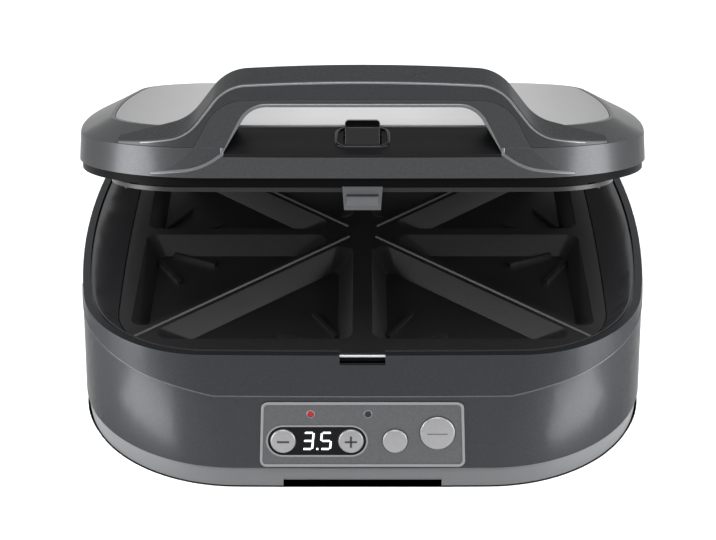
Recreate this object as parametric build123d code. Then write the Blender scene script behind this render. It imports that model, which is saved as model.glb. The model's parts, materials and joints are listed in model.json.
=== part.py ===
from build123d import *
from dataclasses import astuple, dataclass
from math import atan2, cos, degrees, hypot, radians, sin, tan
import os

# Countertop toasted-sandwich maker: a hinged lid with an arched handle, four cells, push buttons.
# Millimetres. +X is the user's right, +Y runs from the user to the hinge, +Z is up.
# The origin is on the table under the middle of the object.
# Lid pieces are drawn with the lid shut and then swung up to the resting angle.

# Casing outline, at the rim and at the foot of the lower band
casing_half_width = 177.5
casing_rim_level = 80.0
casing_rim_front = -153.0
casing_rim_rear = 157.0
rim_front_radius = 80.0
rim_rear_radius = 60.0
rim_side_bulge = 22.0
band_foot_level = 12.0
band_side_taper = 0.8
band_front_run = 17.9
band_rear_taper = 2.0
band_foot_radius_growth = 19.0
band_foot_bulge = 14.5
band_side_flare = 0.2
fascia_slope = 0.3277
fascia_side_slope = 0.054
fascia_radius_growth = 18.5
fascia_foot_bulge = 16.0
crease_depth = 23.8
end_bulge = 2.0
wall = 2.6
lip_width = 4.5
lip_thickness = 2.6
groove_width = 1.2
surround_drop = 0.7
surround_edge = 1.4

# Tray, feet and the screws that close the casing
tray_gap = 0.3
tray_shadow_step = 0.7
tray_skirt_foot = 0.8
tray_skirt_flare = 2.8
tray_floor_level = 4.0
tray_floor = 2.4
tray_notch_half_width = 47.0
tray_notch_top = 5.7
foot_radius = 9.0
foot_stem_radius = 3.6
foot_side_inset = 49.5
foot_front_inset = 41.0
foot_rear_inset = 41.0
vent_slots = 7
vent_slot_length = 46.0
vent_slot_width = 3.2
vent_slot_pitch = 9.0
vent_x = 62.0
post_radius = 3.8
screw_radius = 1.5
screw_head_radius = 3.0
screw_head = 1.8
screw_grip = 9.0
screw_clearance = 0.1

# Cooking plates
plate_half_width = 150.0
plate_front = -139.5
plate_rear = 143.0
plate_front_radius = 46.0
plate_rear_radius = 34.0
plate_side_bulge = 4.0
plate_screw_x = 70.0
plate_screw_margin = 6.8
plate_level = 73.0
plate_gap = 3.0
plate_flange = 2.5
plate_web = 4.0
plate_clearance = 0.8
ledge_width = 3.0
ledge_thickness = 2.5
cell_inner_x = 6.0
cell_outer_x = 140.0
cell_front_y = -124.0
cell_length = 124.5
cell_row_gap = 8.0
pocket_depth = 11.0
pocket_wall = 2.5
pocket_draft = 9.0
pocket_corner = 7.0
ridge_width = 8.0
bead_width = 3.0
bead_height = 1.1
rib_width = 2.6
rib_height = 2.2
rib_start = 20.0
rib_length = 30.0
rib_spread = 18.0

# Heating
heater_radius = 3.2
heater_inner_x = 40.0
heater_outer_x = 104.0
heater_front_y = -98.0
heater_step_y = 58.0
heater_cross_y = 10.0
heater_end_y = 122.0
heater_bend = 18.0
terminal_length = 12.0
reflector_half_width = 132.0
reflector_front = -118.0
reflector_rear = 128.0
reflector_drop = 23.0
reflector_rise = 9.0
reflector_sheet = 0.8
reflector_flange = 4.0
boss_radius = 3.9

# Lid
lid_open_angle = 18.7
lid_side_step = 3.1
lid_front_step = 1.0
lid_rear_step = 7.0
lid_front_radius = 83.0
lid_rear_radius = 57.0
lid_side_bulge = 20.0
lid_lean = 1.23
lid_seat_gap = 1.0
underframe_height = 5.0
underframe_step = 1.5
lid_wall_height = 17.0
lid_wall_slope = 0.055
lid_border_run = 30.0
lid_border_side = 20.0
lid_border_rise = 8.5
plateau_front_radius = 60.0
plateau_rear_radius = 45.0
plateau_side_bulge = 10.0
top_panel_margin = 2.2
top_panel_thickness = 1.4
top_panel_crown = 1.0
ramp_half_width = 78.5
fascia_height = 13.2
cover_thickness = 1.6
cover_gap = 0.2

# Handle arch: its front edge seen from the front, climbing as it runs back
handle_rear = -123.0
handle_setback = 0.1
arch_climb = 0.25
arch_top = 140.5
arch_shoulder_x = 77.5
arch_shoulder_z = 138.0
arch_knee_x = 99.4
arch_knee_z = 110.1
arch_toe_x = 140.0
arch_toe_z = 99.8
arch_shoulder_radius = 26.0
arch_knee_radius = 28.0
grip_top = 126.4
grip_half_width = 63.5
grip_flare = 0.56
grip_radius = 16.0

# Inner moulding of the handle: a strip over the grip that sweeps out along the lid's front wall
moulding_top = 130.2
moulding_shoulder_x = 81.5
moulding_shoulder_z = 129.0
moulding_knee_x = 99.2
moulding_knee_z = 93.7
moulding_tip_x = 120.0
moulding_tip_z = 87.9
moulding_tip_height = 0.5
moulding_root_x = 89.9
moulding_root_z = 90.5
moulding_shoulder_radius = 24.0
moulding_sweep_radius = 40.0
moulding_rear = -135.0

# Hinge
hinge_y = 165.0
hinge_z = 85.0
hinge_inset = 99.5
hinge_radius = 8.0
hinge_arm_width = 25.0
hinge_ear = 5.6
hinge_side_gap = 0.4
hinge_clearance = 0.8
hinge_pin_radius = 3.0
hinge_pin_head_radius = 4.6
hinge_pin_head = 1.4
running_clearance = 0.05
wire_bore_radius = 1.6

# Latch
latch_y = -137.0
latch_z = 97.0
latch_pin_radius = 1.5
latch_hub_radius = 3.6
latch_hub_left = -11.0
latch_hub_right = 5.0
latch_side_gap = 0.4
latch_ear = 3.0
hook_front = -147.4
hook_thickness = 2.4
hook_top_half_width = 12.0
hook_foot_half_width = 10.4
hook_foot = 67.0
barb_reach = 3.4
barb_top = 76.3
barb_height = 7.5
barb_half_width = 9.0
tongue_half_width = 6.0
tongue_thickness = 3.2
tongue_top = 109.0
button_half_width = 10.0
button_front = -141.0
button_rear = -127.0
button_foot = 102.2
button_top = 116.6
button_hole_gap = 0.8
spring_outer_radius = 3.3
strike_half_width = 17.0
strike_y = -150.3
strike_z = 78.45
strike_depth = 2.4
strike_height = 1.7
notch_half_width = 13.4
notch_foot = 74.5

# Control panel: places are measured on its face, from its middle
panel_level = 33.2
panel_top_width = 118.6
panel_foot_width = 121.7
panel_height = 41.0
panel_corner = 4.0
panel_plate = 1.6
panel_proud = 0.3
panel_seat = 3.0
panel_fit = 0.2
bezel_width = 1.6
bezel_proud = 0.5
window_x = -26.8
window_y = -4.0
window_width = 58.0
window_height = 18.0
window_plate = 0.8
window_ring = 1.0
window_ring_proud = 0.35
digits_width = 22.0
digits_height = 13.0
round_button_radius = 7.45
start_button_radius = 10.35
press_travel = 1.0
press_side_gap = 0.35
press_end_gap = 0.3
press_proud = 1.9
press_flange = 1.0
press_flange_width = 1.1
press_stem_radius = 2.2
board_depth = 12.5
board_thickness = 1.6
control_board_width = 112.0
control_board_height = 34.0
switch_width = 6.2
switch_height = 3.2
plunger_height = 0.8
plunger_radius = 1.7
lamp_radius = 2.0
lamp_proud = 0.8
lamp_body_radius = 2.6

# Mains side, on the tray's floor
power_board_half_width = 60.0
power_board_front = 34.0
power_board_rear = 118.0
power_board_level = 12.4
gland_x = -68.0
gland_level = 30.0
gland_radius = 7.5
gland_flange = 2.6
gland_bore = 3.6
gland_spot_depth = 1.0


@dataclass
class Outline:
    """A plan outline of four shallow arcs joined by rounded corners."""

    half_width: float
    front: float
    rear: float
    front_radius: float
    rear_radius: float
    side_bulge: float

    def inset(self, gap):
        return Outline(
            self.half_width - gap,
            self.front + gap,
            self.rear - gap,
            self.front_radius - gap,
            self.rear_radius - gap,
            self.side_bulge,
        )

    def beyond(self, other, share):
        """The outline on the straight run from this one to another, at a share of the way."""
        return Outline(*[a + (b - a) * share for a, b in zip(astuple(self), astuple(other))])

    def face(self, level):
        side = self.half_width - self.side_bulge
        front, rear = self.front + end_bulge, self.rear - end_bulge
        middle = (self.front + self.rear) / 2
        arcs = [
            ((-side, front), (0, self.front), (side, front)),
            ((side, front), (self.half_width, middle), (side, rear)),
            ((side, rear), (0, self.rear), (-side, rear)),
            ((-side, rear), (-self.half_width, middle), (-side, front)),
        ]
        edges = [
            Edge.make_three_point_arc(*[Vector(x, y, level) for x, y in points]) for points in arcs
        ]
        flat = Face(Wire(edges))
        flat = flat.fillet_2d(self.front_radius, flat.vertices().sort_by(Axis.Y)[:2])
        return flat.fillet_2d(self.rear_radius, flat.vertices().sort_by(Axis.Y)[-2:])


# Levels and outlines that several pieces share
casing_height = casing_rim_level - band_foot_level
rim = Outline(
    casing_half_width,
    casing_rim_front,
    casing_rim_rear,
    rim_front_radius,
    rim_rear_radius,
    rim_side_bulge,
)
band_foot = Outline(
    casing_half_width - band_side_taper,
    casing_rim_front - band_front_run,
    casing_rim_rear - band_rear_taper,
    rim_front_radius + band_foot_radius_growth,
    rim_rear_radius + 2 * band_rear_taper,
    band_foot_bulge,
)
crease_y = casing_rim_front - fascia_slope * crease_depth
band_slope = (crease_y - band_foot.front) / (casing_height - crease_depth)
band_rim = Outline(
    casing_half_width + band_side_flare,
    crease_y + band_slope * crease_depth,
    casing_rim_rear + band_side_flare,
    rim_front_radius + 1.0,
    rim_rear_radius + 1.0,
    rim_side_bulge,
)
fascia_foot = Outline(
    casing_half_width + fascia_side_slope * casing_height,
    casing_rim_front - fascia_slope * casing_height,
    casing_rim_rear + fascia_side_slope * casing_height,
    rim_front_radius + fascia_radius_growth,
    rim_rear_radius + fascia_side_slope * casing_height,
    fascia_foot_bulge,
)
plate_outline = Outline(
    plate_half_width,
    plate_front,
    plate_rear,
    plate_front_radius,
    plate_rear_radius,
    plate_side_bulge,
)
surround_outline = rim.inset(lip_width + groove_width)
reflector_outline = Outline(reflector_half_width, reflector_front, reflector_rear, 24.0, 24.0, 4.0)
lid_outline = Outline(
    casing_half_width - lid_side_step,
    casing_rim_front + lid_front_step,
    casing_rim_rear - lid_rear_step,
    lid_front_radius,
    lid_rear_radius,
    lid_side_bulge,
)
underframe_level = casing_rim_level + lid_seat_gap
lid_wall_foot = underframe_level + underframe_height
lid_crease = lid_wall_foot + lid_wall_height
plateau_level = lid_crease + lid_border_rise
plateau = Outline(
    lid_outline.half_width - lid_border_side,
    lid_outline.front + lid_border_run,
    lid_outline.rear - lid_border_side,
    plateau_front_radius,
    plateau_rear_radius,
    plateau_side_bulge,
)
lean_axis = Axis((0, lid_outline.front, lid_crease), (1, 0, 0))
fascia_top = lid_wall_foot + fascia_height
upper_plate_level = plate_level + plate_gap
mirror_plane = Plane.XY.offset((plate_level + upper_plate_level) / 2)
ledge_level = plate_level - plate_flange
pocket_floor = plate_level - pocket_depth
heater_level = pocket_floor - pocket_wall - heater_radius
reflector_level = plate_level - reflector_drop
tray_floor_top = tray_floor_level + tray_floor
cell_rear_y = cell_front_y + 2 * cell_length + cell_row_gap
hinge_x = casing_half_width - hinge_inset
hinge_axis = Axis((0, hinge_y, hinge_z), (1, 0, 0))


def between(lower, low_level, upper, high_level):
    """A straight-sided solid from one outline up to another."""
    return loft([lower.face(low_level), upper.face(high_level)], ruled=True)


def prism(outline, low_level, high_level):
    return extrude(outline.face(low_level), amount=high_level - low_level)


def block(x0, x1, y0, y1, z0, z1):
    return Pos((x0 + x1) / 2, (y0 + y1) / 2, (z0 + z1) / 2) * Box(x1 - x0, y1 - y0, z1 - z0)


def upright(x, y, radius, low, high):
    return Pos(x, y, (low + high) / 2) * Cylinder(radius, high - low)


def across(y, z, radius, x0, x1):
    """A round bar along X."""
    return Pos((x0 + x1) / 2, y, z) * Rot(0, 90, 0) * Cylinder(radius, x1 - x0)


def along(x, z, radius, y0, y1):
    """A round bar along Y."""
    return Pos(x, (y0 + y1) / 2, z) * Rot(90, 0, 0) * Cylinder(radius, y1 - y0)


def side_profile(points, x0, x1):
    """A solid whose outline in the Y-Z plane is the given polygon."""
    wire = Wire.make_polygon([Vector(x0, y, z) for y, z in points], close=True)
    return Solid.extrude(Face(wire), Vector(x1 - x0, 0, 0))


def front_profile(face, y0, y1, rise=0.0):
    """A solid from an outline in the X-Z plane, which may climb as it runs back along Y."""
    upright_face = Plane(origin=(0, y0, 0), x_dir=(1, 0, 0), z_dir=(0, -1, 0)) * face
    return Solid.extrude(upright_face, Vector(0, y1 - y0, rise * (y1 - y0)))


def mirrored_places(places):
    return [(side * x, y) for x, y in places for side in (-1, 1)]


def in_from_rim(side_inset, front_inset=None, rear_inset=None):
    """A place given by its distance from the casing's side and from its front or rear."""
    y = rim.rear - rear_inset if front_inset is None else rim.front + front_inset
    return rim.half_width - side_inset, y


foot_places = mirrored_places(
    [
        in_from_rim(foot_side_inset, front_inset=foot_front_inset),
        in_from_rim(foot_side_inset, rear_inset=foot_rear_inset),
    ]
)
post_places = mirrored_places(
    [
        in_from_rim(77.5, front_inset=16.0),
        in_from_rim(18.5, rear_inset=137.0),
        in_from_rim(129.5, rear_inset=10.0),
    ]
)
lid_post_places = mirrored_places(
    [
        in_from_rim(45.5, front_inset=25.0),
        in_from_rim(15.5, rear_inset=137.0),
        in_from_rim(19.5, rear_inset=61.0),
    ]
)
plate_screw_places = [
    (-plate_screw_x, plate_front + plate_screw_margin),
    (plate_screw_x, plate_front + plate_screw_margin),
    (0.0, plate_rear - plate_screw_margin),
]
row_middle_y = cell_front_y + cell_length + cell_row_gap / 2
reflector_screw_places = [(-72.0, row_middle_y), (72.0, row_middle_y), (0.0, -70.0), (0.0, 90.0)]
board_post_places = mirrored_places([(52.0, 40.0), (52.0, 112.0)])

# The panel's plane leans back with the front wall
panel_tilt = atan2(band_slope, 1)
panel_plane = Plane(
    origin=(0, band_foot.front + (panel_level - band_foot_level) * band_slope, panel_level),
    x_dir=(1, 0, 0),
    z_dir=(0, -cos(panel_tilt), sin(panel_tilt)),
)
button_gap = (window_width - window_height) / 2
press_buttons = {
    "minus_button": (window_x - button_gap, window_y, round_button_radius),
    "plus_button": (window_x + button_gap, window_y, round_button_radius),
    "extra_button": (19.2, window_y, round_button_radius),
    "start_button": (44.1, window_y + 5.1, start_button_radius),
}
lamps = {"power_lamp": (-30.5, 13.2), "ready_lamp": (3.2, 13.2)}


def on_panel(shape):
    """Place a shape drawn on XY so that +Z points out of the panel's face."""
    return panel_plane.offset(panel_proud) * shape


# Casing
def casing_form(inset, low, high):
    """The lower band cut by the fascia above it, as a whole or set in by a wall."""

    def band_at(level):
        return band_foot.inset(inset).beyond(
            band_rim.inset(inset), (level - band_foot_level) / casing_height
        )

    def fascia_at(level):
        return fascia_foot.inset(inset).beyond(
            rim.inset(inset), (level - band_foot_level) / casing_height
        )

    band = between(band_at(low), low, band_at(high), high)
    return band & between(fascia_at(low), low, fascia_at(high), high)


def hinge_ears(x):
    """A boss on the rear wall with the two ears that hold one hinge pin."""
    reach = hinge_arm_width / 2 + hinge_side_gap
    saddle = hinge_z - hinge_radius - hinge_clearance
    rear = hinge_y + hinge_radius - 3.0
    boss_foot = saddle - 26.0
    inside = casing_rim_rear - wall + 0.4
    boss = side_profile(
        [
            (inside, boss_foot),
            (casing_rim_rear + 0.6, boss_foot),
            (rear, boss_foot + 12.0),
            (rear, saddle),
            (inside, saddle),
        ],
        x - reach - hinge_ear,
        x + reach + hinge_ear,
    )
    for side in (-1, 1):
        x0, x1 = sorted((x + side * reach, x + side * (reach + hinge_ear)))
        boss += across(hinge_y, hinge_z, hinge_radius, x0, x1)
        boss += block(x0, x1, hinge_y - hinge_radius + 0.8, rear, saddle - 1, hinge_z)
    bore = hinge_pin_radius + running_clearance
    return boss - across(hinge_y, hinge_z, bore, x - 40, x + 40)


def strike_solid():
    return block(
        -strike_half_width,
        strike_half_width,
        strike_y - strike_depth / 2,
        strike_y + strike_depth / 2,
        strike_z - strike_height / 2,
        strike_z + strike_height / 2,
    )


def panel_outline(grow=0.0):
    foot = panel_foot_width / 2 + grow
    top = panel_top_width / 2 + grow
    tall = panel_height / 2 + grow
    corners = [(-foot, -tall), (foot, -tall), (top, tall), (-top, tall)]
    sheet = Face(Wire.make_polygon([Vector(x, y) for x, y in corners], close=True))
    return sheet.fillet_2d(max(panel_corner + grow, 0.5), sheet.vertices())


gland_seat_y = casing_rim_rear - 1.6 - gland_spot_depth


def base_housing():
    shell = casing_form(0, band_foot_level, casing_rim_level)
    shell -= casing_form(wall, band_foot_level - 1, casing_rim_level - lip_thickness)
    shell -= prism(rim.inset(lip_width), casing_rim_level - lip_thickness - 0.5, casing_rim_level + 1)
    for side in (-1, 1):
        shell += hinge_ears(side * hinge_x)
    notch_rear = casing_rim_front + 2 * lip_width
    shell -= block(
        -notch_half_width, notch_half_width, casing_rim_front - 9, notch_rear, notch_foot, 90
    )
    shell -= strike_solid()
    seat = extrude(Pos(0, 0, -panel_plate) * panel_outline(panel_fit), amount=20)
    shell -= on_panel(seat)
    shell -= on_panel(extrude(panel_outline(-panel_seat), amount=20, both=True))
    spot_radius = gland_radius + gland_flange + screw_clearance
    shell -= along(gland_x, gland_level, spot_radius, gland_seat_y, gland_seat_y + 20)
    shell -= along(
        gland_x, gland_level, gland_radius + screw_clearance, gland_seat_y - 9, gland_seat_y + 1
    )
    return shell


def strike_bar():
    bar = strike_solid()
    return fillet(bar.edges().filter_by(Axis.X), 0.5)


def base_surround():
    """The dished ring round the lower plate, with the ledge that the plate lies on."""
    top = casing_rim_level - surround_drop
    foot = ledge_level - ledge_thickness
    hip = ledge_level + 2.4
    hole = plate_outline.inset(-plate_clearance)
    dish_rim = surround_outline.inset(surround_edge)
    dish_foot = plate_level + 0.4
    body = between(hole.inset(-2.4), foot, surround_outline, hip)
    body += prism(surround_outline, hip, top)
    flange_top = casing_rim_level - lip_thickness
    body += prism(rim.inset(wall + 1.0), flange_top - 2.2, flange_top)
    body -= between(
        hole.beyond(dish_rim, -0.1), dish_foot - 0.1 * (top - dish_foot),
        hole.beyond(dish_rim, 1.3), dish_foot + 1.3 * (top - dish_foot),
    )
    body -= prism(hole, ledge_level, dish_foot + 0.3)
    body -= prism(plate_outline.inset(ledge_width), 0, plate_level)
    for x, y in post_places:
        post = upright(x, y, post_radius, tray_floor_top, ledge_level + 1)
        body += post - prism(hole, foot, plate_level)
        body -= upright(x, y, screw_radius + screw_clearance, 0, tray_floor_top + screw_grip + 1)
    for x, y in plate_screw_places:
        tab_top = plate_level - plate_web
        body += upright(x, y, screw_head_radius + 1.4, tab_top - ledge_thickness, tab_top)
        body -= upright(x, y, screw_radius + screw_clearance, 0, tab_top)
    hook_room = block(
        -notch_half_width, notch_half_width, rim.front - 9, hole.front + 0.3, 0, casing_rim_level + 1
    )
    return body - hook_room


# Tray
def base_tray():
    top = band_foot.inset(tray_shadow_step)
    foot = Outline(
        top.half_width - tray_skirt_flare / 2,
        top.front - tray_skirt_flare,
        top.rear,
        top.front_radius,
        top.rear_radius,
        top.side_bulge,
    )
    lip = band_foot_level - tray_gap
    body = between(foot, tray_skirt_foot, top, lip)
    body -= prism(top.inset(wall), tray_floor_top, band_foot_level)
    body -= prism(foot.inset(wall + 0.6), 0, tray_floor_level)
    notch = tray_notch_half_width
    body -= block(-notch, notch, foot.front - 2, foot.front + 4, 0, tray_floor_level)
    body -= block(-notch, notch, foot.front - 2, foot.front + 1.8, 0, tray_notch_top)
    for x, y in foot_places:
        body -= upright(x, y, foot_stem_radius + screw_clearance, 0, tray_floor_top + 1)
    for x, y in post_places:
        body -= upright(x, y, screw_radius + screw_clearance, 0, tray_floor_top + 1)
    slit = extrude(SlotOverall(vent_slot_length, vent_slot_width), amount=20)
    for side in (-1, 1):
        for slot in range(vent_slots):
            body -= Pos(side * vent_x, (slot - (vent_slots - 1) / 2) * vent_slot_pitch) * slit
    for x, y in board_post_places:
        body += upright(x, y, 4.0, tray_floor_top - 0.1, power_board_level)
    return body


def rubber_feet():
    feet = []
    for x, y in foot_places:
        pad = upright(x, y, foot_radius, 0, tray_floor_level)
        pad = chamfer(pad.edges().group_by(Axis.Z)[0], 1.2)
        stem = upright(x, y, foot_stem_radius, tray_floor_level - 0.5, tray_floor_top)
        bulb = upright(x, y, foot_stem_radius + 1.2, tray_floor_top, tray_floor_top + 1.6)
        feet.append(pad + stem + bulb)
    return Compound(feet)


def screw(x, y, seat, grip, up=1):
    """A pan-head screw whose head bears on the given level and whose shank points up or down."""
    head_z = seat - up * screw_head / 2
    head = Pos(x, y, head_z) * Cylinder(screw_head_radius, screw_head)
    shank = Pos(x, y, seat + up * grip / 2) * Cylinder(screw_radius, grip)
    slot = Pos(x, y, seat - up * (screw_head - 0.3)) * Box(screw_head_radius * 1.3, 0.8, 0.6)
    return head + shank - slot


def tray_screws():
    grip = tray_floor + screw_grip
    return Compound([screw(x, y, tray_floor_level, grip) for x, y in post_places])


# Cooking plates
def inset_triangle(corners, inset, radius, level):
    """A triangle with each side moved in by the inset and its corners rounded."""
    points = [Vector(x, y) for x, y in corners]
    middle = (points[0] + points[1] + points[2]) * (1 / 3)
    lines = []
    for i in range(3):
        start, end = points[i], points[(i + 1) % 3]
        run = (end - start).normalized()
        inward = Vector(-run.Y, run.X)
        if inward.dot(middle - start) < 0:
            inward = -inward
        lines.append((start + inward * inset, run))
    moved = []
    for i in range(3):
        (p, u), (q, v) = lines[i - 1], lines[i]
        share = ((q - p).X * v.Y - (q - p).Y * v.X) / (u.X * v.Y - u.Y * v.X)
        moved.append(p + u * share + Vector(0, 0, level))
    flat = Face(Wire.make_polygon(moved, close=True))
    return flat.fillet_2d(radius, flat.vertices())


def cells():
    """Each cell as the two ends of its diagonal and its two right-angled corners."""
    rows = (
        (cell_front_y, cell_front_y + cell_length, False),
        (cell_rear_y - cell_length, cell_rear_y, True),
    )
    for front, rear, turned in rows:
        middle_y, far_y = (front, rear) if turned else (rear, front)
        for side in (-1, 1):
            inner, outer = side * cell_inner_x, side * cell_outer_x
            yield (outer, far_y), (inner, middle_y), (outer, middle_y), (inner, far_y)


def pocket_triangles():
    """The corner of each pocket, and the ends of its long side along the ridge."""
    for far, near, corner_a, corner_b in cells():
        for corner in (corner_a, corner_b):
            legs = []
            for end in (far, near):
                run = Vector(end[0] - corner[0], end[1] - corner[1])
                slope = hypot(far[0] - near[0], far[1] - near[1])
                other = abs(far[0] - near[0]) + abs(far[1] - near[1]) - run.length
                cut = ridge_width / 2 * slope / other
                shorter = run * (1 - cut / run.length)
                legs.append((corner[0] + shorter.X, corner[1] + shorter.Y))
            yield corner, legs


def pocket_form(corner, legs, top_level, floor_level, grow):
    """The hollow of one pocket, or its outer skin, drafted from rim to floor."""
    corners = [corner] + legs
    draft = pocket_draft * (top_level - floor_level) / pocket_depth
    top = inset_triangle(corners, -grow, pocket_corner + grow, top_level)
    floor = inset_triangle(corners, draft - grow, pocket_corner * 0.6 + grow, floor_level)
    return loft([top, floor], ruled=True)


def plate_casting():
    """A flat casting with a triangular pocket pressed each side of every cell's diagonal."""
    body = prism(plate_outline.inset(ledge_width + 0.6), plate_level - plate_web, plate_level)
    body += prism(plate_outline, ledge_level, plate_level)
    for corner, legs in pocket_triangles():
        body += pocket_form(corner, legs, ledge_level, pocket_floor - pocket_wall, pocket_wall)
    for x, y in reflector_screw_places:
        body += upright(x, y, boss_radius, reflector_level + reflector_sheet, ledge_level)
    for corner, legs in pocket_triangles():
        body -= pocket_form(corner, legs, plate_level, pocket_floor, 0)
    for corner, legs in pocket_triangles():
        middle_x = (legs[0][0] + legs[1][0]) / 2 - corner[0]
        middle_y = (legs[0][1] + legs[1][1]) / 2 - corner[1]
        for spread in (-rib_spread, rib_spread):
            rib = block(
                rib_start, rib_start + rib_length, -rib_width / 2, rib_width / 2, -0.5, rib_height
            )
            turn = degrees(atan2(middle_y, middle_x)) + spread
            body += Pos(corner[0], corner[1], pocket_floor) * Rot(0, 0, turn) * rib
    for far, near, *_ in cells():
        run = hypot(near[0] - far[0], near[1] - far[1])
        turn = degrees(atan2(near[1] - far[1], near[0] - far[0]))
        half = bead_width / 2
        section = [(-half, -0.5), (half, -0.5), (half - 1, bead_height), (1 - half, bead_height)]
        bead = side_profile(section, 4.0, run - 4.0)
        body += Pos(far[0], far[1], plate_level) * Rot(0, 0, turn) * bead
    for x, y in plate_screw_places:
        foot = plate_level - plate_web
        body -= upright(x, y, screw_radius, foot - 1, foot + 2.6)
    for x, y in reflector_screw_places:
        body -= upright(x, y, screw_radius, reflector_level, reflector_level + 8)
    return body


def plate_screws():
    tab_foot = plate_level - plate_web - ledge_thickness
    holding = [screw(x, y, tab_foot, ledge_thickness + 2.5) for x, y in plate_screw_places]
    hanging = [screw(x, y, reflector_level, 7.5) for x, y in reflector_screw_places]
    return Compound(holding + hanging)


# Heating
def heating_element():
    """A tubular element bent under all four cells, with both cold ends at the rear."""
    left = [
        (-heater_inner_x, heater_end_y),
        (-heater_inner_x, heater_step_y),
        (-heater_outer_x, heater_step_y),
        (-heater_outer_x, heater_front_y),
        (-heater_inner_x, heater_front_y),
        (-heater_inner_x, heater_cross_y),
    ]
    route = left + [(-x, y) for x, y in reversed(left)]
    path = FilletPolyline(*[(x, y, heater_level) for x, y in route], radius=heater_bend)
    start = Plane(origin=(*route[0], heater_level), z_dir=(0, -1, 0))
    rod = sweep(start * RegularPolygon(heater_radius, 8), path=path)
    for side in (-1, 1):
        rod += along(
            side * heater_inner_x, heater_level, heater_radius * 0.6,
            heater_end_y - 1, heater_end_y + terminal_length,
        )
    return rod


def reflector():
    """A folded sheet pan behind the element, notched where the cold ends leave."""
    top = reflector_level + reflector_rise
    inner = reflector_outline.inset(reflector_sheet)
    body = prism(reflector_outline, reflector_level, top)
    body += prism(reflector_outline.inset(-reflector_flange), top - reflector_sheet, top)
    body -= prism(inner, reflector_level + reflector_sheet, top + 1)
    for side in (-1, 1):
        x = side * heater_inner_x
        body -= block(x - 6, x + 6, reflector_rear - 4, reflector_rear + 9, heater_level - 5, top + 1)
    for x, y in reflector_screw_places:
        body -= upright(x, y, screw_radius + screw_clearance, 0, reflector_level + 2)
    return body


def temperature_sensor():
    """A sensor cup held against the plate's web by a stem that stands on the reflector."""
    web = plate_level - plate_web
    cup = upright(0, 60, 4.0, web - 7, web)
    stem = upright(0, 60, 1.8, reflector_level + reflector_sheet, web - 6.5)
    return cup + stem


def thermal_fuse():
    level = reflector_level + reflector_sheet + 2.2
    body = across(112, level, 2.2, 4, 18)
    return body + across(112, level, 0.6, -4, 26)


# Mains electrics
def power_board():
    top = power_board_level + board_thickness
    x = power_board_half_width
    return block(-x, x, power_board_front, power_board_rear, power_board_level, top)


board_top = power_board_level + board_thickness


def relay():
    case = block(14, 44, 60, 78, board_top, board_top + 15)
    return chamfer(case.edges().group_by(Axis.Z)[-1], 0.8)


def transformer():
    core = block(-46, -12, 62, 86, board_top, board_top + 26)
    bobbin = block(-38, -20, 56, 92, board_top + 5, board_top + 21)
    return core + chamfer(bobbin.edges().filter_by(Axis.Y), 2)


def terminal_block():
    top = board_top + 12
    body = block(-52, -16, 99, 113, board_top, top)
    for x in (-46, -34, -22):
        body -= upright(x, 106, 2.6, top - 6, top + 1)
    return body


def cord_gland():
    """The bush in the rear wall that the mains lead goes through."""
    sleeve = along(gland_x, gland_level, gland_radius, gland_seat_y - 9, gland_seat_y)
    flange = along(
        gland_x, gland_level, gland_radius + gland_flange, gland_seat_y, gland_seat_y + 2.4
    )
    nose = Pos(gland_x, gland_seat_y + 5.4, gland_level) * Rot(-90, 0, 0) * Cone(
        gland_radius - 1.2, gland_radius - 2.4, 6.2
    )
    bore = along(gland_x, gland_level, gland_bore, gland_seat_y - 20, gland_seat_y + 20)
    return sleeve + flange + nose - bore


# Control panel
def pill(grow=0.0):
    return Pos(window_x, window_y) * SlotOverall(
        window_width + 2 * grow, window_height + 2 * grow
    )


def control_panel():
    plate = extrude(panel_outline(), amount=-panel_plate)
    plate -= extrude(Pos(0, 0, -window_plate) * pill(window_ring), amount=5)
    plate -= Pos(window_x, window_y) * Box(digits_width + 1, digits_height + 1, 9)
    for x, y, radius in press_buttons.values():
        plate -= Pos(x, y) * Cylinder(radius + press_side_gap, 9)
    for x, y in lamps.values():
        plate -= Pos(x, y) * Cylinder(lamp_radius, 9)
    post = (board_depth - panel_plate) / 2
    for x, y in mirrored_places([(51.0, 14.0), (51.0, -14.0)]):
        plate += Pos(x, y, -panel_plate - post) * Cylinder(2.0, 2 * post)
    return on_panel(plate)


def panel_bezel():
    ring = panel_outline() - panel_outline(-bezel_width)
    return on_panel(extrude(ring, amount=bezel_proud))


def display_ring():
    ring = pill(window_ring) - pill()
    foot = Pos(0, 0, -window_plate) * ring
    return on_panel(extrude(foot, amount=window_plate + window_ring_proud))


def display_window():
    lens = extrude(Pos(0, 0, -window_plate) * pill(), amount=window_plate)
    for name in ("minus_button", "plus_button"):
        x, y, radius = press_buttons[name]
        lens -= Pos(x, y) * Cylinder(radius + press_side_gap, 9)
    return on_panel(lens)


def display_module():
    height = board_depth - window_plate
    case = Pos(window_x, window_y, -window_plate - height / 2) * Box(
        digits_width, digits_height, height
    )
    return on_panel(case)


def lamp(name):
    x, y = lamps[name]
    lens = Pos(x, y, (lamp_proud - panel_plate) / 2) * Cylinder(
        lamp_radius, lamp_proud + panel_plate
    )
    lens = chamfer(lens.edges().group_by(Axis.Z)[-1], lamp_proud * 0.7)
    height = board_depth - panel_plate
    body = Pos(x, y, -panel_plate - height / 2) * Cylinder(lamp_body_radius, height)
    return on_panel(lens + body)


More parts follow.
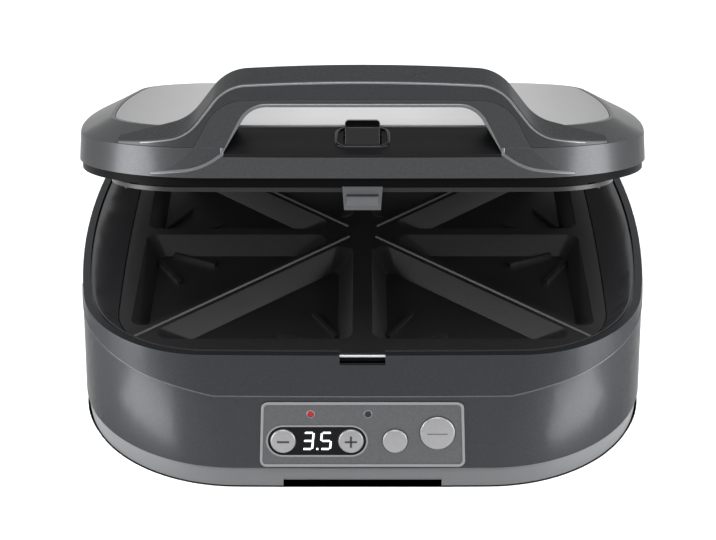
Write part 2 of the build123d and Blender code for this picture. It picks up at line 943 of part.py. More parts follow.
def press_button(name):
    """A round cap with a stop flange behind the panel and a stem to its switch."""
    x, y, radius = press_buttons[name]
    back = -panel_plate - press_end_gap
    cap = Pos(x, y, (press_proud + back) / 2) * Cylinder(radius, press_proud - back)
    cap = chamfer(cap.edges().group_by(Axis.Z)[-1], 0.6)
    flange = Pos(x, y, back - press_flange / 2) * Cylinder(
        radius + press_flange_width, press_flange
    )
    stem_foot = -board_depth + switch_height + plunger_height + press_travel + press_end_gap
    stem = Pos(x, y, (back + stem_foot) / 2) * Cylinder(press_stem_radius, back - stem_foot)
    return on_panel(cap + flange + stem)


def tact_switches():
    switches = []
    for x, y, _ in press_buttons.values():
        case = Pos(x, y, switch_height / 2 - board_depth) * Box(
            switch_width, switch_width, switch_height
        )
        plunger = Pos(x, y, switch_height + plunger_height / 2 - board_depth) * Cylinder(
            plunger_radius, plunger_height
        )
        switches.append(on_panel(case + plunger))
    return Compound(switches)


def control_board():
    board = Pos(0, 0, -board_depth - board_thickness / 2) * Box(
        control_board_width, control_board_height, board_thickness
    )
    return on_panel(board)


# Hinge
def hinge_pin(side):
    """A pin headed at both ends, bored right through for the lid's heater leads."""
    reach = hinge_arm_width / 2 + hinge_side_gap + hinge_ear
    middle = side * hinge_x
    pin = across(hinge_y, hinge_z, hinge_pin_radius, middle - reach, middle + reach)
    for edge in (-1, 1):
        x0, x1 = sorted((middle + edge * reach, middle + edge * (reach + hinge_pin_head)))
        pin += across(hinge_y, hinge_z, hinge_pin_head_radius, x0, x1)
    return pin - across(hinge_y, hinge_z, wire_bore_radius, middle - 40, middle + 40)


# Lid
def leaned(shape):
    """Tip the lid's upper faces down towards the hinge."""
    return shape.rotate(lean_axis, -lid_lean)


def lid_form(inset=0.0, drop=0.0):
    """The lid's outer form, or the hollow inside its wall."""
    foot = lid_outline.inset(inset).face(lid_wall_foot - (1 if inset else 0))
    crease_outline = lid_outline.inset(inset + lid_wall_slope * lid_wall_height)
    crease = leaned(crease_outline.face(lid_crease - drop))
    top = leaned(plateau.inset(inset).face(plateau_level - drop))
    return loft([foot, crease], ruled=True) + loft([crease, top], ruled=True)


ramp_front = lid_outline.front + lid_wall_slope * fascia_height
ramp_rear = plateau.front
ramp_top = plateau_level - lid_border_run * tan(radians(lid_lean)) - 0.4
ramp_slope = (ramp_top - fascia_top) / (ramp_rear - ramp_front)


def ramp_wedge(half_width, lift=0.0, thickness=60.0):
    """Everything over the sloping panel in front of the plateau, or a slab of it."""
    front, rear = lid_outline.front - 6, ramp_rear
    low = fascia_top + (front - ramp_front) * ramp_slope + lift
    high = fascia_top + (rear - ramp_front) * ramp_slope + lift
    section = [(front, low), (rear, high), (rear, high + thickness), (front, low + thickness)]
    return side_profile(section, -half_width, half_width)


def hinge_arms():
    reach = hinge_arm_width / 2
    arms = []
    for side in (-1, 1):
        x0, x1 = side * hinge_x - reach, side * hinge_x + reach
        inside = lid_outline.rear - wall + 0.4
        web = side_profile(
            [
                (inside, lid_wall_foot + 1.0),
                (hinge_y - hinge_radius + 0.5, hinge_z - 1.0),
                (hinge_y, hinge_z - hinge_radius + 1.0),
                (hinge_y, hinge_z + hinge_radius - 0.1),
                (inside, lid_wall_foot + 8.0),
            ],
            x0,
            x1,
        )
        arms.append(web + across(hinge_y, hinge_z, hinge_radius, x0, x1))
    return arms


def latch_room(half_width, front):
    """The space that the latch takes where it passes through the sloping panel."""
    return block(-half_width, half_width, front, button_rear + button_hole_gap, latch_z - 9, 130)


def lid_shell():
    outer = lid_form()
    body = outer - lid_form(wall, wall)
    for arm in hinge_arms():
        body += arm
    for x, y in lid_post_places:
        body += upright(x, y, post_radius, lid_wall_foot, 140) & outer
    body -= ramp_wedge(ramp_half_width, -cover_thickness)
    recess = plateau.inset(top_panel_margin)
    body -= leaned(prism(recess, plateau_level - top_panel_thickness, plateau_level + 1))
    body -= moulding_wings()
    body -= latch_room(button_half_width + 6, lid_outline.front + 7)
    for side in (-1, 1):
        middle = side * hinge_x
        bore = hinge_pin_radius + running_clearance
        body -= across(hinge_y, hinge_z, bore, middle - 40, middle + 40)
    for x, y in lid_post_places:
        body -= upright(x, y, screw_radius + screw_clearance, 0, lid_wall_foot + screw_grip + 1)
    return body


def lid_top_panel():
    """The metal panel let into the plateau, with a slight crown across its width."""
    outline = plateau.inset(top_panel_margin + 0.3)
    low = plateau_level - top_panel_thickness
    crown_radius = outline.half_width**2 / (2 * top_panel_crown)
    crown_z = plateau_level + top_panel_crown - crown_radius
    crown = along(0, crown_z, crown_radius, outline.front - 5, outline.rear + 5)
    return leaned(prism(outline, low, plateau_level + 5) & crown)


def latch_cover():
    """The sloping panel between the handle's legs, with the ears of the latch under it."""
    body = ramp_wedge(ramp_half_width - cover_gap, -cover_thickness, cover_thickness)
    front_trim = between(
        lid_outline, lid_wall_foot, lid_outline.inset(lid_wall_slope * 30), lid_wall_foot + 30
    )
    body = body & front_trim
    left = latch_hub_left - latch_side_gap
    right = -left
    for x0, x1 in ((left - latch_ear, left), (right, right + latch_ear)):
        ear = side_profile(
            [
                (latch_y - 4, latch_z - 4),
                (latch_y + 4, latch_z - 4),
                (latch_y + 7, latch_z + 15),
                (latch_y - 6, latch_z + 15),
            ],
            x0,
            x1,
        )
        body += ear - ramp_wedge(90, -0.5 * cover_thickness)
    gap = button_hole_gap
    body -= latch_room(button_half_width + gap, button_front - 2.4 * gap)
    return body - across(latch_y, latch_z, latch_pin_radius + running_clearance, -30, 30)


def latch_pin():
    reach = latch_ear + latch_side_gap - latch_hub_left
    pin = across(latch_y, latch_z, latch_pin_radius, -reach, reach)
    for side in (-1, 1):
        x0, x1 = sorted((side * reach, side * (reach + 1.0)))
        pin += across(latch_y, latch_z, latch_pin_radius + 1.0, x0, x1)
    return pin


def latch_spring():
    """The return spring's closed coils, wound on the pin."""
    x0 = latch_hub_right + latch_side_gap
    x1 = -latch_hub_left
    coils = across(latch_y, latch_z, spring_outer_radius, x0, x1)
    return coils - across(latch_y, latch_z, latch_pin_radius + running_clearance, x0 - 1, x1 + 1)


def latch_hook():
    """A bent steel plate with its barb, pivot hub and the tongue that carries the button."""
    rear = hook_front + hook_thickness
    top = latch_z - 9.0
    sheet = [(-hook_top_half_width, top), (-hook_foot_half_width, hook_foot)]
    sheet += [(-x, z) for x, z in reversed(sheet)]
    face = Face(Wire.make_polygon([Vector(x, z) for x, z in sheet], close=True))
    body = front_profile(face, hook_front, rear)
    arm = [
        (hook_front, top - 3),
        (hook_front, top + 2),
        (latch_y - 2.4, latch_z + 2.4),
        (latch_y, latch_z - 3.4),
        (rear, top - 3),
    ]
    body += side_profile(arm, latch_hub_left, latch_hub_right)
    body += across(latch_y, latch_z, latch_hub_radius, latch_hub_left, latch_hub_right)
    half = tongue_thickness / 2
    tongue = tongue_half_width
    body += block(
        -tongue, latch_hub_right, latch_y - half, latch_y + half, latch_z, latch_z + 4
    )
    body += block(-tongue, tongue, latch_y - half, latch_y + half, latch_z + 4, tongue_top)
    barb = [
        (hook_front + 0.5, barb_top),
        (hook_front - barb_reach, barb_top - 1.0),
        (hook_front - barb_reach, barb_top - 2.4),
        (hook_front + 0.5, barb_top - barb_height),
    ]
    body += side_profile(barb, -barb_half_width, barb_half_width)
    return body - across(latch_y, latch_z, latch_pin_radius + running_clearance, -30, 30)


def latch_button():
    """The finger button, pushed over the hook's tongue."""
    section = [
        (button_front, button_foot),
        (button_front + 1.6, button_top - 3.4),
        (button_front + 6.0, button_top),
        (button_rear - 2.4, button_top),
        (button_rear, button_top - 2.4),
        (button_rear, button_foot),
    ]
    body = side_profile(section, -button_half_width, button_half_width)
    body = chamfer(body.faces().sort_by(Axis.Z)[-1].edges().filter_by(Axis.Y), 1.2)
    half = tongue_thickness / 2
    gap = running_clearance
    tongue = tongue_half_width + gap
    return body - block(
        -tongue, tongue, latch_y - half - gap, latch_y + half + gap, 90, tongue_top
    )


def lid_underframe():
    """The dark frame under the lid that carries the upper plate."""
    neck_foot = upper_plate_level + plate_flange
    opening = plate_outline.inset(ledge_width)
    body = prism(lid_outline.inset(underframe_step), underframe_level, lid_wall_foot)
    body += prism(plate_outline, neck_foot, underframe_level + 1)
    body -= prism(opening, neck_foot - 1, lid_wall_foot + 1)
    tab_foot = upper_plate_level + plate_web
    for x, y in plate_screw_places:
        body += upright(x, y, screw_head_radius + 1.4, tab_foot, tab_foot + ledge_thickness)
        body -= upright(x, y, screw_radius + screw_clearance, 0, 99)
    body -= block(
        -notch_half_width, notch_half_width, hook_front - 1.2, plate_front - 0.3, 70, 99
    )
    for x, y in lid_post_places:
        body -= upright(x, y, screw_radius + screw_clearance, 0, 99)
        body -= upright(
            x, y, screw_head_radius + 0.3, 0, underframe_level + screw_head + 0.4
        )
    return body


def lid_screws():
    seat = underframe_level + screw_head + 0.4
    grip = lid_wall_foot - seat + screw_grip
    return Compound([screw(x, y, seat, grip) for x, y in lid_post_places])


# Handle
def rounded(flat, radius, x, z):
    """Round the two mirrored corners of a front view that lie at the given place."""
    corners = [v for v in flat.vertices() if hypot(abs(v.X) - x, v.Y - z) < 0.01]
    return flat.fillet_2d(radius, corners)


def arch_face():
    """The arch's front view, from one toe over the top to the other."""
    shoulder = (arch_shoulder_x, arch_shoulder_z)
    toe = (arch_toe_x, arch_toe_z)
    crown = Edge.make_three_point_arc(
        Vector(-arch_shoulder_x, arch_shoulder_z), Vector(0, arch_top), Vector(*shoulder)
    )
    right = [shoulder, (arch_knee_x, arch_knee_z), toe, (arch_toe_x, arch_toe_z - 20)]
    chain = right + [(-x, z) for x, z in reversed(right)]
    lines = [
        Edge.make_line(Vector(*chain[i]), Vector(*chain[i + 1])) for i in range(len(chain) - 1)
    ]
    flat = rounded(Face(Wire([crown] + lines)), arch_shoulder_radius, *shoulder)
    return rounded(flat, arch_knee_radius, arch_knee_x, arch_knee_z)


def grip_face():
    """The finger opening's front view, open at the foot."""
    foot_level = lid_wall_foot
    foot = grip_half_width + grip_flare * (grip_top - foot_level)
    corners = [
        (-foot, foot_level),
        (foot, foot_level),
        (grip_half_width, grip_top),
        (-grip_half_width, grip_top),
    ]
    flat = Face(Wire.make_polygon([Vector(x, z) for x, z in corners], close=True))
    return rounded(flat, grip_radius, grip_half_width, grip_top)


def moulding_face():
    """The inner moulding's front view, filled in across the opening."""
    right = [
        (moulding_shoulder_x, moulding_shoulder_z),
        (moulding_knee_x, moulding_knee_z),
        (moulding_tip_x, moulding_tip_z),
        (moulding_tip_x, moulding_tip_z - moulding_tip_height),
        (moulding_root_x, moulding_root_z),
        (ramp_half_width, fascia_top),
    ]
    crown = Edge.make_three_point_arc(
        Vector(-moulding_shoulder_x, moulding_shoulder_z),
        Vector(0, moulding_top),
        Vector(moulding_shoulder_x, moulding_shoulder_z),
    )
    chain = right + [(-x, z) for x, z in reversed(right)]
    lines = [
        Edge.make_line(Vector(*chain[i]), Vector(*chain[i + 1])) for i in range(len(chain) - 1)
    ]
    flat = Face(Wire([crown] + lines))
    flat = rounded(flat, moulding_shoulder_radius, moulding_shoulder_x, moulding_shoulder_z)
    flat = rounded(flat, moulding_sweep_radius, moulding_knee_x, moulding_knee_z)
    return rounded(flat, moulding_sweep_radius, moulding_root_x, moulding_root_z)


def moulding_form():
    return front_profile(moulding_face(), lid_outline.front - 9, handle_rear + 9)


def moulding_wings():
    """The moulding's share of the lid's front wall, each side of the sloping panel."""
    front = lid_outline.front - 9
    wings = lid_form() - lid_form(wall, wall)
    wings &= block(-moulding_tip_x, moulding_tip_x, front, moulding_rear, 80, 150)
    wings -= block(-ramp_half_width, ramp_half_width, front, moulding_rear, 80, 150)
    return wings & moulding_form()


def handle_block():
    """The whole arch: its front view swept back and trimmed by the lid's front wall."""
    front = lid_outline.front - 6
    edge_y = lid_outline.front + lid_wall_slope * (arch_top - lid_wall_foot)
    sink = arch_climb * (front - edge_y)
    arch = front_profile(Pos(0, sink) * arch_face(), front, handle_rear, arch_climb)
    height = arch_top + 12 - lid_wall_foot
    trim_foot = lid_outline.inset(handle_setback)
    trim_top = trim_foot.inset(lid_wall_slope * height)
    trim = between(trim_foot, lid_wall_foot, trim_top, arch_top + 12)
    seat = lid_form() - ramp_wedge(ramp_half_width)
    grip = front_profile(grip_face(), lid_outline.front - 9, handle_rear + 9)
    return (arch & trim) - seat - grip


def handle():
    return handle_block() - moulding_form()


def handle_underside():
    return (handle_block() & moulding_form()) + moulding_wings()


def lid_side(shape):
    """Turn a plate-side piece over for the lid."""
    return shape.mirror(mirror_plane)


def swung(shape):
    return shape.rotate(hinge_axis, -lid_open_angle)


base_pieces = {
    "base_housing": base_housing,
    "base_surround": base_surround,
    "base_tray": base_tray,
    "rubber_feet": rubber_feet,
    "tray_screws": tray_screws,
    "strike_bar": strike_bar,
    "hinge_pin_left": lambda: hinge_pin(-1),
    "hinge_pin_right": lambda: hinge_pin(1),
    "lower_plate": plate_casting,
    "lower_plate_screws": plate_screws,
    "lower_heating_element": heating_element,
    "lower_reflector": reflector,
    "lower_temperature_sensor": temperature_sensor,
    "lower_thermal_fuse": thermal_fuse,
    "power_board": power_board,
    "relay": relay,
    "transformer": transformer,
    "terminal_block": terminal_block,
    "cord_gland": cord_gland,
    "control_panel": control_panel,
    "panel_bezel": panel_bezel,
    "display_ring": display_ring,
    "display_window": display_window,
    "display_module": display_module,
    "control_board": control_board,
    "tact_switches": tact_switches,
}
lid_pieces = {
    "lid_shell": lid_shell,
    "lid_top_panel": lid_top_panel,
    "lid_underframe": lid_underframe,
    "lid_screws": lid_screws,
    "handle": handle,
    "handle_underside": handle_underside,
    "latch_cover": latch_cover,
    "latch_pin": latch_pin,
    "latch_spring": latch_spring,
    "latch_hook": latch_hook,
    "latch_button": latch_button,
    "upper_plate": lambda: lid_side(plate_casting()),
    "upper_plate_screws": lambda: lid_side(plate_screws()),
    "upper_heating_element": lambda: lid_side(heating_element()),
    "upper_reflector": lambda: lid_side(reflector()),
    "upper_temperature_sensor": lambda: lid_side(temperature_sensor()),
    "upper_thermal_fuse": lambda: lid_side(thermal_fuse()),
}

os.makedirs("parts", exist_ok=True)
for name, make in base_pieces.items():
    export_step(make(), f"parts/{name}.step")
for name in press_buttons:
    export_step(press_button(name), f"parts/{name}.step")
for name in lamps:
    export_step(lamp(name), f"parts/{name}.step")
for name, make in lid_pieces.items():
    export_step(swung(make()), f"parts/{name}.step")
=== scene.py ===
import json
import math

import bmesh
import bpy
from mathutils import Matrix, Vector


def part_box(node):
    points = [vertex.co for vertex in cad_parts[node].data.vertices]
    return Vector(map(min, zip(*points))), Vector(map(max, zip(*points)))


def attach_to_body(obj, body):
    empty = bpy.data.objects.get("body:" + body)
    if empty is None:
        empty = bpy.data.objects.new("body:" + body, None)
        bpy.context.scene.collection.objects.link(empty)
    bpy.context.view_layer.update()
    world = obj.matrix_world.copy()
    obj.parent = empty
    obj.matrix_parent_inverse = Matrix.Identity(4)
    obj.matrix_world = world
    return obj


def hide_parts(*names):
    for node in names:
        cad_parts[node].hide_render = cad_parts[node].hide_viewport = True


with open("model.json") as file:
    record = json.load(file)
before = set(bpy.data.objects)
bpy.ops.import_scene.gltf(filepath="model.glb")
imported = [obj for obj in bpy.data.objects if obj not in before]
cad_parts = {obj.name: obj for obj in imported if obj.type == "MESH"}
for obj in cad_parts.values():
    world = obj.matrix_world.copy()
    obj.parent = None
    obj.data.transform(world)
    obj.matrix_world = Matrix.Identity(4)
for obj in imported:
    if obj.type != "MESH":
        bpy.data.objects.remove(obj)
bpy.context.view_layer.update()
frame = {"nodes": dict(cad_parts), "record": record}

bl_info = {
    "name": "Sandwich maker",
    "version": (1, 0, 0),
    "blender": (4, 5, 0),
    "location": "View3D > Sidebar > Sandwich maker",
    "description": "Dresses the packed sandwich maker with its finishes, marks and studio",
    "category": "Object",
}

MM = 0.001
BODY_OF = {
    node: body
    for body, nodes in frame["record"]["behaviour"]["bodies"].items()
    for node in nodes
}
LENGTH = {"subtype": "DISTANCE", "unit": "LENGTH"}
POWER = {"subtype": "POWER", "unit": "POWER"}
COLOR = {"subtype": "COLOR", "size": 3, "min": 0.0, "max": 1.0}

# In metres: points nearer than the first are one, and edges shorter than the second don't count
SAME_POINT = 2e-6
SHORTEST_EDGE = 1e-6
# In degrees: the bend up to which faces are one, and from which an edge stays sharp
FLAT_ANGLE = 0.2
SHARP_ANGLE = 35.0
ROUNDED_SHARP_ANGLE = 50.0
# For the handle's edges: how far the first face turns to the front, how far the other turns up
# or down, and how far it turns aside, as its normal's part times its place sideways in metres
FACES_FRONT = 0.8
FACES_UP = 0.3
FACES_ASIDE = 0.0005
# The height over which the opening under the handle lies, in metres
OPENING_FOOT = 0.1
# How far the display's lit pieces stand proud of its window, in metres
SEGMENT_HEIGHT = 0.00008


def scaled(color, factor):
    """A colour made lighter or darker, never past white."""
    return [min(1.0, c * factor) for c in color]


# Meshes
def add_piece(name, mesh, body, finish):
    """Link a finished mesh as a piece of the object, with its material and body."""
    piece = bpy.data.objects.new(name, mesh)
    bpy.context.scene.collection.objects.link(piece)
    mesh.materials.clear()
    mesh.materials.append(finish)
    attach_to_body(piece, body)
    return piece


def smooth_by_angle(mesh, degrees):
    mesh.shade_smooth()
    mesh.set_sharp_from_angle(angle=math.radians(degrees))


def apply_modifiers(piece):
    """Put a piece's modifiers into its mesh."""
    depsgraph = bpy.context.evaluated_depsgraph_get()
    made = bpy.data.meshes.new_from_object(piece.evaluated_get(depsgraph))
    piece.modifiers.clear()
    old = piece.data
    piece.data = made
    bpy.data.meshes.remove(old)


def welded(node):
    """A CAD node's mesh with its triangles joined into whole faces."""
    work = bmesh.new()
    work.from_mesh(frame["nodes"][node].data)
    bmesh.ops.remove_doubles(work, verts=work.verts, dist=SAME_POINT)
    bmesh.ops.dissolve_degenerate(work, edges=work.edges, dist=SHORTEST_EDGE)
    bmesh.ops.dissolve_limit(
        work, angle_limit=math.radians(FLAT_ANGLE), verts=work.verts, edges=work.edges
    )
    return work


def grown(mesh, tree, sizes):
    """The plain mesh that a Geometry Nodes tree makes from another, with its inputs set."""
    carrier = bpy.data.objects.new(mesh.name, mesh)
    bpy.context.scene.collection.objects.link(carrier)
    modifier = carrier.modifiers.new("made", "NODES")
    modifier.node_group = tree
    for label, value in sizes.items():
        modifier[socket_id(tree, label)] = value
    apply_modifiers(carrier)
    made = carrier.data
    bpy.data.objects.remove(carrier)
    return made


def middle_of(edge):
    return (edge.verts[0].co + edge.verts[1].co) / 2


def runs_level(edge):
    """Whether an edge runs more level than upright."""
    steepest = 0.7
    run = edge.verts[1].co - edge.verts[0].co
    return abs(run.z) < steepest * run.length


def sorted_normals(edge):
    """The normals of an edge's faces, the one that faces most to the front first."""
    return sorted((face.normal for face in edge.link_faces), key=lambda n: n.y)


def mark_folds(mesh, least):
    """Make the shallow folds that run level sharp, which an angle limit would smooth over."""
    work = bmesh.new()
    work.from_mesh(mesh)
    for edge in work.edges:
        joined = len(edge.link_faces) == 2 and runs_level(edge)
        if joined and edge.calc_face_angle() > math.radians(least):
            edge.smooth = False
    work.to_mesh(mesh)
    work.free()


def dress(node, finish, edge=0.5, smooth=SHARP_ANGLE, fold=0.0):
    """A welded copy of a CAD node with rounded edges (mm), which stands for the node."""
    work = welded(node)
    mesh = bpy.data.meshes.new(node + "_dressed")
    work.to_mesh(mesh)
    work.free()
    smooth_by_angle(mesh, smooth)
    piece = add_piece(node + "_dressed", mesh, BODY_OF[node], finish)
    if edge:
        bevel = piece.modifiers.new("rounded edges", "BEVEL")
        bevel.width = edge * MM
        bevel.segments = 3
        bevel.limit_method = "ANGLE"
        bevel.angle_limit = math.radians(smooth)
        bevel.miter_outer = "MITER_ARC"
        apply_modifiers(piece)
        smooth_by_angle(piece.data, ROUNDED_SHARP_ANGLE)
    if fold:
        mark_folds(piece.data, fold)
    weigh = piece.modifiers.new("flat faces stay flat", "WEIGHTED_NORMAL")
    weigh.keep_sharp = True
    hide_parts(node)
    return piece


def is_fascia_fold(edge):
    """Whether an edge lies on the shallow level fold across the casing's front."""
    least, most = 3.5, 12.0
    front, foot, steepest = -0.03, 0.05, 0.5
    middle = middle_of(edge)
    normal = edge.link_faces[0].normal
    outward = normal.x * middle.x + normal.y * middle.y > 0
    folded = least < math.degrees(edge.calc_face_angle()) < most
    in_front = middle.y < front and middle.z > foot and abs(normal.z) < steepest
    return outward and runs_level(edge) and folded and in_front


def front_and_other(edge):
    """The normals of an edge's front face and of the face it meets at a sharp angle."""
    normals = sorted_normals(edge)
    if -normals[0].y < FACES_FRONT or edge.calc_face_angle() < math.radians(SHARP_ANGLE):
        return None
    return normals


def is_top_edge(edge):
    """Whether an edge lies between the handle's front and its top."""
    normals = front_and_other(edge)
    if normals is None:
        return False
    return normals[1].z > FACES_UP or normals[1].x * middle_of(edge).x > FACES_ASIDE


def is_opening_edge(edge):
    """Whether an edge lies between the moulding's front and the opening under the handle."""
    normals = front_and_other(edge)
    middle = middle_of(edge)
    if normals is None or middle.z < OPENING_FOOT:
        return False
    return normals[1].z < -FACES_UP or normals[1].x * middle.x < -FACES_ASIDE


def add_bead(name, node, chosen, radius, sinks, finish):
    """A rolled edge: a tube along a CAD node's chosen edges, set into its two faces (mm)."""
    work = welded(node)
    for edge in work.edges:
        joined = len(edge.link_faces) == 2 and edge.calc_length() > SHORTEST_EDGE
        edge.tag = joined and chosen(edge)
    inward = {}
    for edge in work.edges:
        if edge.tag:
            front, other = sorted_normals(edge)
            for vert in edge.verts:
                inward.setdefault(vert, []).append(front * -sinks[0] - other * sinks[1])
    for vert, shifts in inward.items():
        vert.co += sum(shifts, Vector()) / len(shifts) * MM
    for edge in [e for e in work.edges if not e.tag]:
        work.edges.remove(edge)
    for vert in [v for v in work.verts if not v.link_edges]:
        work.verts.remove(vert)
    mesh = bpy.data.meshes.new(name)
    work.to_mesh(mesh)
    work.free()
    made = grown(mesh, tube_tree(finish), {"Radius": radius * MM})
    return add_piece(name, made, BODY_OF[node], finish)


def finish_node(node, finish):
    """Give a CAD node itself a finish."""
    mesh = frame["nodes"][node].data
    mesh.materials.clear()
    mesh.materials.append(finish)
    smooth_by_angle(mesh, SHARP_ANGLE)


# Nodes
def attach(tree, socket, value):
    """Link an input to another node's output, or set it to a plain value."""
    if isinstance(value, bpy.types.NodeSocket):
        tree.links.new(value, socket)
    else:
        socket.default_value = value


def add_node(tree, kind, **inputs):
    """A new node, with its inputs linked or set."""
    node = tree.nodes.new(kind)
    for label, value in inputs.items():
        attach(tree, node.inputs[label.replace("_", " ")], value)
    return node


def add_math(tree, operation, *values, kind="ShaderNodeMath"):
    """A new maths node on outputs or plain numbers."""
    node = tree.nodes.new(kind)
    node.operation = operation
    for socket, value in zip(node.inputs, values):
        attach(tree, socket, value)
    return node


def object_place(tree):
    """The place on the object, in its own axes."""
    return tree.nodes.new("ShaderNodeTexCoord").outputs["Object"]


def mapped(tree, value, low, high):
    """A value from 0-1 spread between two others."""
    node = add_node(tree, "ShaderNodeMapRange", Value=value, To_Min=low, To_Max=high)
    return node.outputs["Result"]


# Shader groups that several materials share
def group(name, inputs, outputs):
    """A shader group with number sockets, and its input and output nodes."""
    tree = bpy.data.node_groups.new(name, "ShaderNodeTree")
    for label, default in inputs:
        socket = tree.interface.new_socket(label, in_out="INPUT", socket_type="NodeSocketFloat")
        socket.default_value = default
    for label in outputs:
        tree.interface.new_socket(label, in_out="OUTPUT", socket_type="NodeSocketFloat")
    return tree, tree.nodes.new("NodeGroupInput"), tree.nodes.new("NodeGroupOutput")


def make_grain_group():
    """Moulded or sprayed grain: a height, and a roughness between two limits."""
    tree, given, out = group(
        "surface grain",
        [("Scale", 900.0), ("Low", 0.3), ("High", 0.4), ("Detail", 2.0)],
        ["Height", "Roughness"],
    )
    scale, low, high, detail = given.outputs[:4]
    place = object_place(tree)
    fine = add_node(tree, "ShaderNodeTexNoise", Vector=place, Scale=scale, Detail=detail)
    broad = add_node(tree, "ShaderNodeTexNoise", Vector=place, Scale=14.0, Detail=3.0)
    half = add_math(tree, "MULTIPLY", broad.outputs["Fac"], 0.5)
    mix = add_math(tree, "MULTIPLY_ADD", fine.outputs["Fac"], 0.5, half.outputs[0])
    attach(tree, out.inputs["Height"], fine.outputs["Fac"])
    attach(tree, out.inputs["Roughness"], mapped(tree, mix.outputs[0], low, high))
    return tree


def make_brush_group():
    """Brushed metal: fine lines along X, as a height."""
    tree, given, out = group("brushed lines", [("Lines", 1400.0), ("Length", 12.0)], ["Height"])
    lines, length = given.outputs["Lines"], given.outputs["Length"]
    stretch = add_node(tree, "ShaderNodeCombineXYZ", X=length, Y=lines, Z=lines)
    spread = add_math(
        tree, "MULTIPLY", object_place(tree), stretch.outputs[0], kind="ShaderNodeVectorMath"
    )
    noise = add_node(
        tree, "ShaderNodeTexNoise", Vector=spread.outputs[0], Scale=1.0, Detail=2.0
    )
    attach(tree, out.inputs["Height"], noise.outputs["Fac"])
    return tree


def make_wear_group():
    """Rubbed edges: a mask that is 1 on the sharpest edges, broken up by noise."""
    # The cosine between a face's normal and the rounded one, where wear begins and where it is full
    begins, full = 0.995, 0.93
    tree, given, out = group("edge wear", [("Radius", 0.0008), ("Amount", 0.5)], ["Mask"])
    rounded = add_node(tree, "ShaderNodeBevel", Radius=given.outputs["Radius"])
    rounded.samples = 4
    true = tree.nodes.new("ShaderNodeNewGeometry")
    alike = add_math(
        tree, "DOT_PRODUCT", rounded.outputs["Normal"], true.outputs["Normal"],
        kind="ShaderNodeVectorMath",
    )
    unlike = add_node(
        tree, "ShaderNodeMapRange", Value=alike.outputs["Value"], From_Min=begins, From_Max=full
    )
    noise = add_node(tree, "ShaderNodeTexNoise", Vector=object_place(tree), Scale=90.0)
    broken = add_math(tree, "MULTIPLY", unlike.outputs["Result"], noise.outputs["Fac"])
    mask = add_math(tree, "MULTIPLY", broken.outputs[0], given.outputs["Amount"])
    attach(tree, out.inputs["Mask"], mask.outputs[0])
    return tree


GROUPS = {}
# A Mix node's colour sockets, which share their names with its number sockets
MIX_A, MIX_B, MIX_RESULT = 6, 7, 2


class Finish:
    """A material on one Principled BSDF, with helpers that add the shared effects."""

    def __init__(self, name, color, **sockets):
        self.material = bpy.data.materials.new(name)
        self.material.use_nodes = True
        self.tree = self.material.node_tree
        self.shader = self.tree.nodes["Principled BSDF"]
        self.color = (*color, 1.0)
        self.shader.inputs["Base Color"].default_value = self.color
        for label, value in sockets.items():
            self.shader.inputs[label.replace("_", " ")].default_value = value

    def place(self, kind, **values):
        """A node of one of the shared groups, with its inputs set."""
        node = self.tree.nodes.new("ShaderNodeGroup")
        node.node_tree = GROUPS[kind]
        for label, value in values.items():
            node.inputs[label].default_value = value
        return node

    def grain(self, scale, low, high, bump, depth=0.02, detail=2.0):
        """Roughness and a fine bump from the grain group."""
        node = self.place("grain", Scale=scale, Low=low, High=high, Detail=detail)
        attach(self.tree, self.shader.inputs["Roughness"], node.outputs["Roughness"])
        self.bump(node.outputs["Height"], bump, depth)
        return self

    def bump(self, height, strength, depth):
        raised = add_node(
            self.tree, "ShaderNodeBump", Strength=strength, Distance=depth * MM, Height=height
        )
        attach(self.tree, self.shader.inputs["Normal"], raised.outputs["Normal"])

    def tint(self, factor, color):
        """Mix the base colour towards another where the factor is high."""
        mix = add_node(self.tree, "ShaderNodeMix", Factor=factor)
        mix.data_type = "RGBA"
        source = self.shader.inputs["Base Color"]
        before = source.links[0].from_socket if source.is_linked else self.color
        attach(self.tree, mix.inputs[MIX_A], before)
        attach(self.tree, mix.inputs[MIX_B], (*color, 1.0))
        attach(self.tree, source, mix.outputs[MIX_RESULT])
        return self

    def worn(self, color, amount, radius=0.0008):
        node = self.place("wear", Radius=radius, Amount=amount)
        return self.tint(node.outputs["Mask"], color)

    def brushed(self, lines, length, strength, dark):
        node = self.place("brush", Lines=lines, Length=length)
        self.tint(node.outputs["Height"], dark)
        self.bump(node.outputs["Height"], strength, 0.02)
        return self

    def flaked(self, scale, color, amount):
        """Metal flake in a lacquer: scattered brighter cells."""
        place = object_place(self.tree)
        cells = add_node(self.tree, "ShaderNodeTexVoronoi", Vector=place, Scale=scale)
        split = add_node(self.tree, "ShaderNodeSeparateColor", Color=cells.outputs["Color"])
        return self.tint(mapped(self.tree, split.outputs["Red"], 0.0, amount), color)


# Finishes, one function for each
def lacquer_finish(color, gloss=0.12):
    """Dark metallic grey lacquer under a thin clear coat."""
    finish = Finish(
        "metallic lacquer", color, Metallic=0.7, Specular_IOR_Level=0.2,
        Specular_Tint=(0.3, 0.3, 0.3, 1.0), Coat_Weight=gloss, Coat_Roughness=0.18,
    )
    finish.flaked(5200.0, scaled(color, 2.4), 0.5)
    finish.grain(1600.0, 0.3, 0.38, 0.05)
    return finish.worn(scaled(color, 2.5), 0.4).material


def tray_finish(color):
    finish = Finish("tray grey", color, Metallic=0.3)
    return finish.grain(2200.0, 0.42, 0.52, 0.12).worn(scaled(color, 1.7), 0.3).material


def dark_finish(name, color, low, high, gloss=0.5):
    """Near-black moulding."""
    finish = Finish(name, color, Specular_IOR_Level=gloss)
    return finish.grain(1800.0, low, high, 0.12).worn(scaled(color, 4.0), 0.3).material


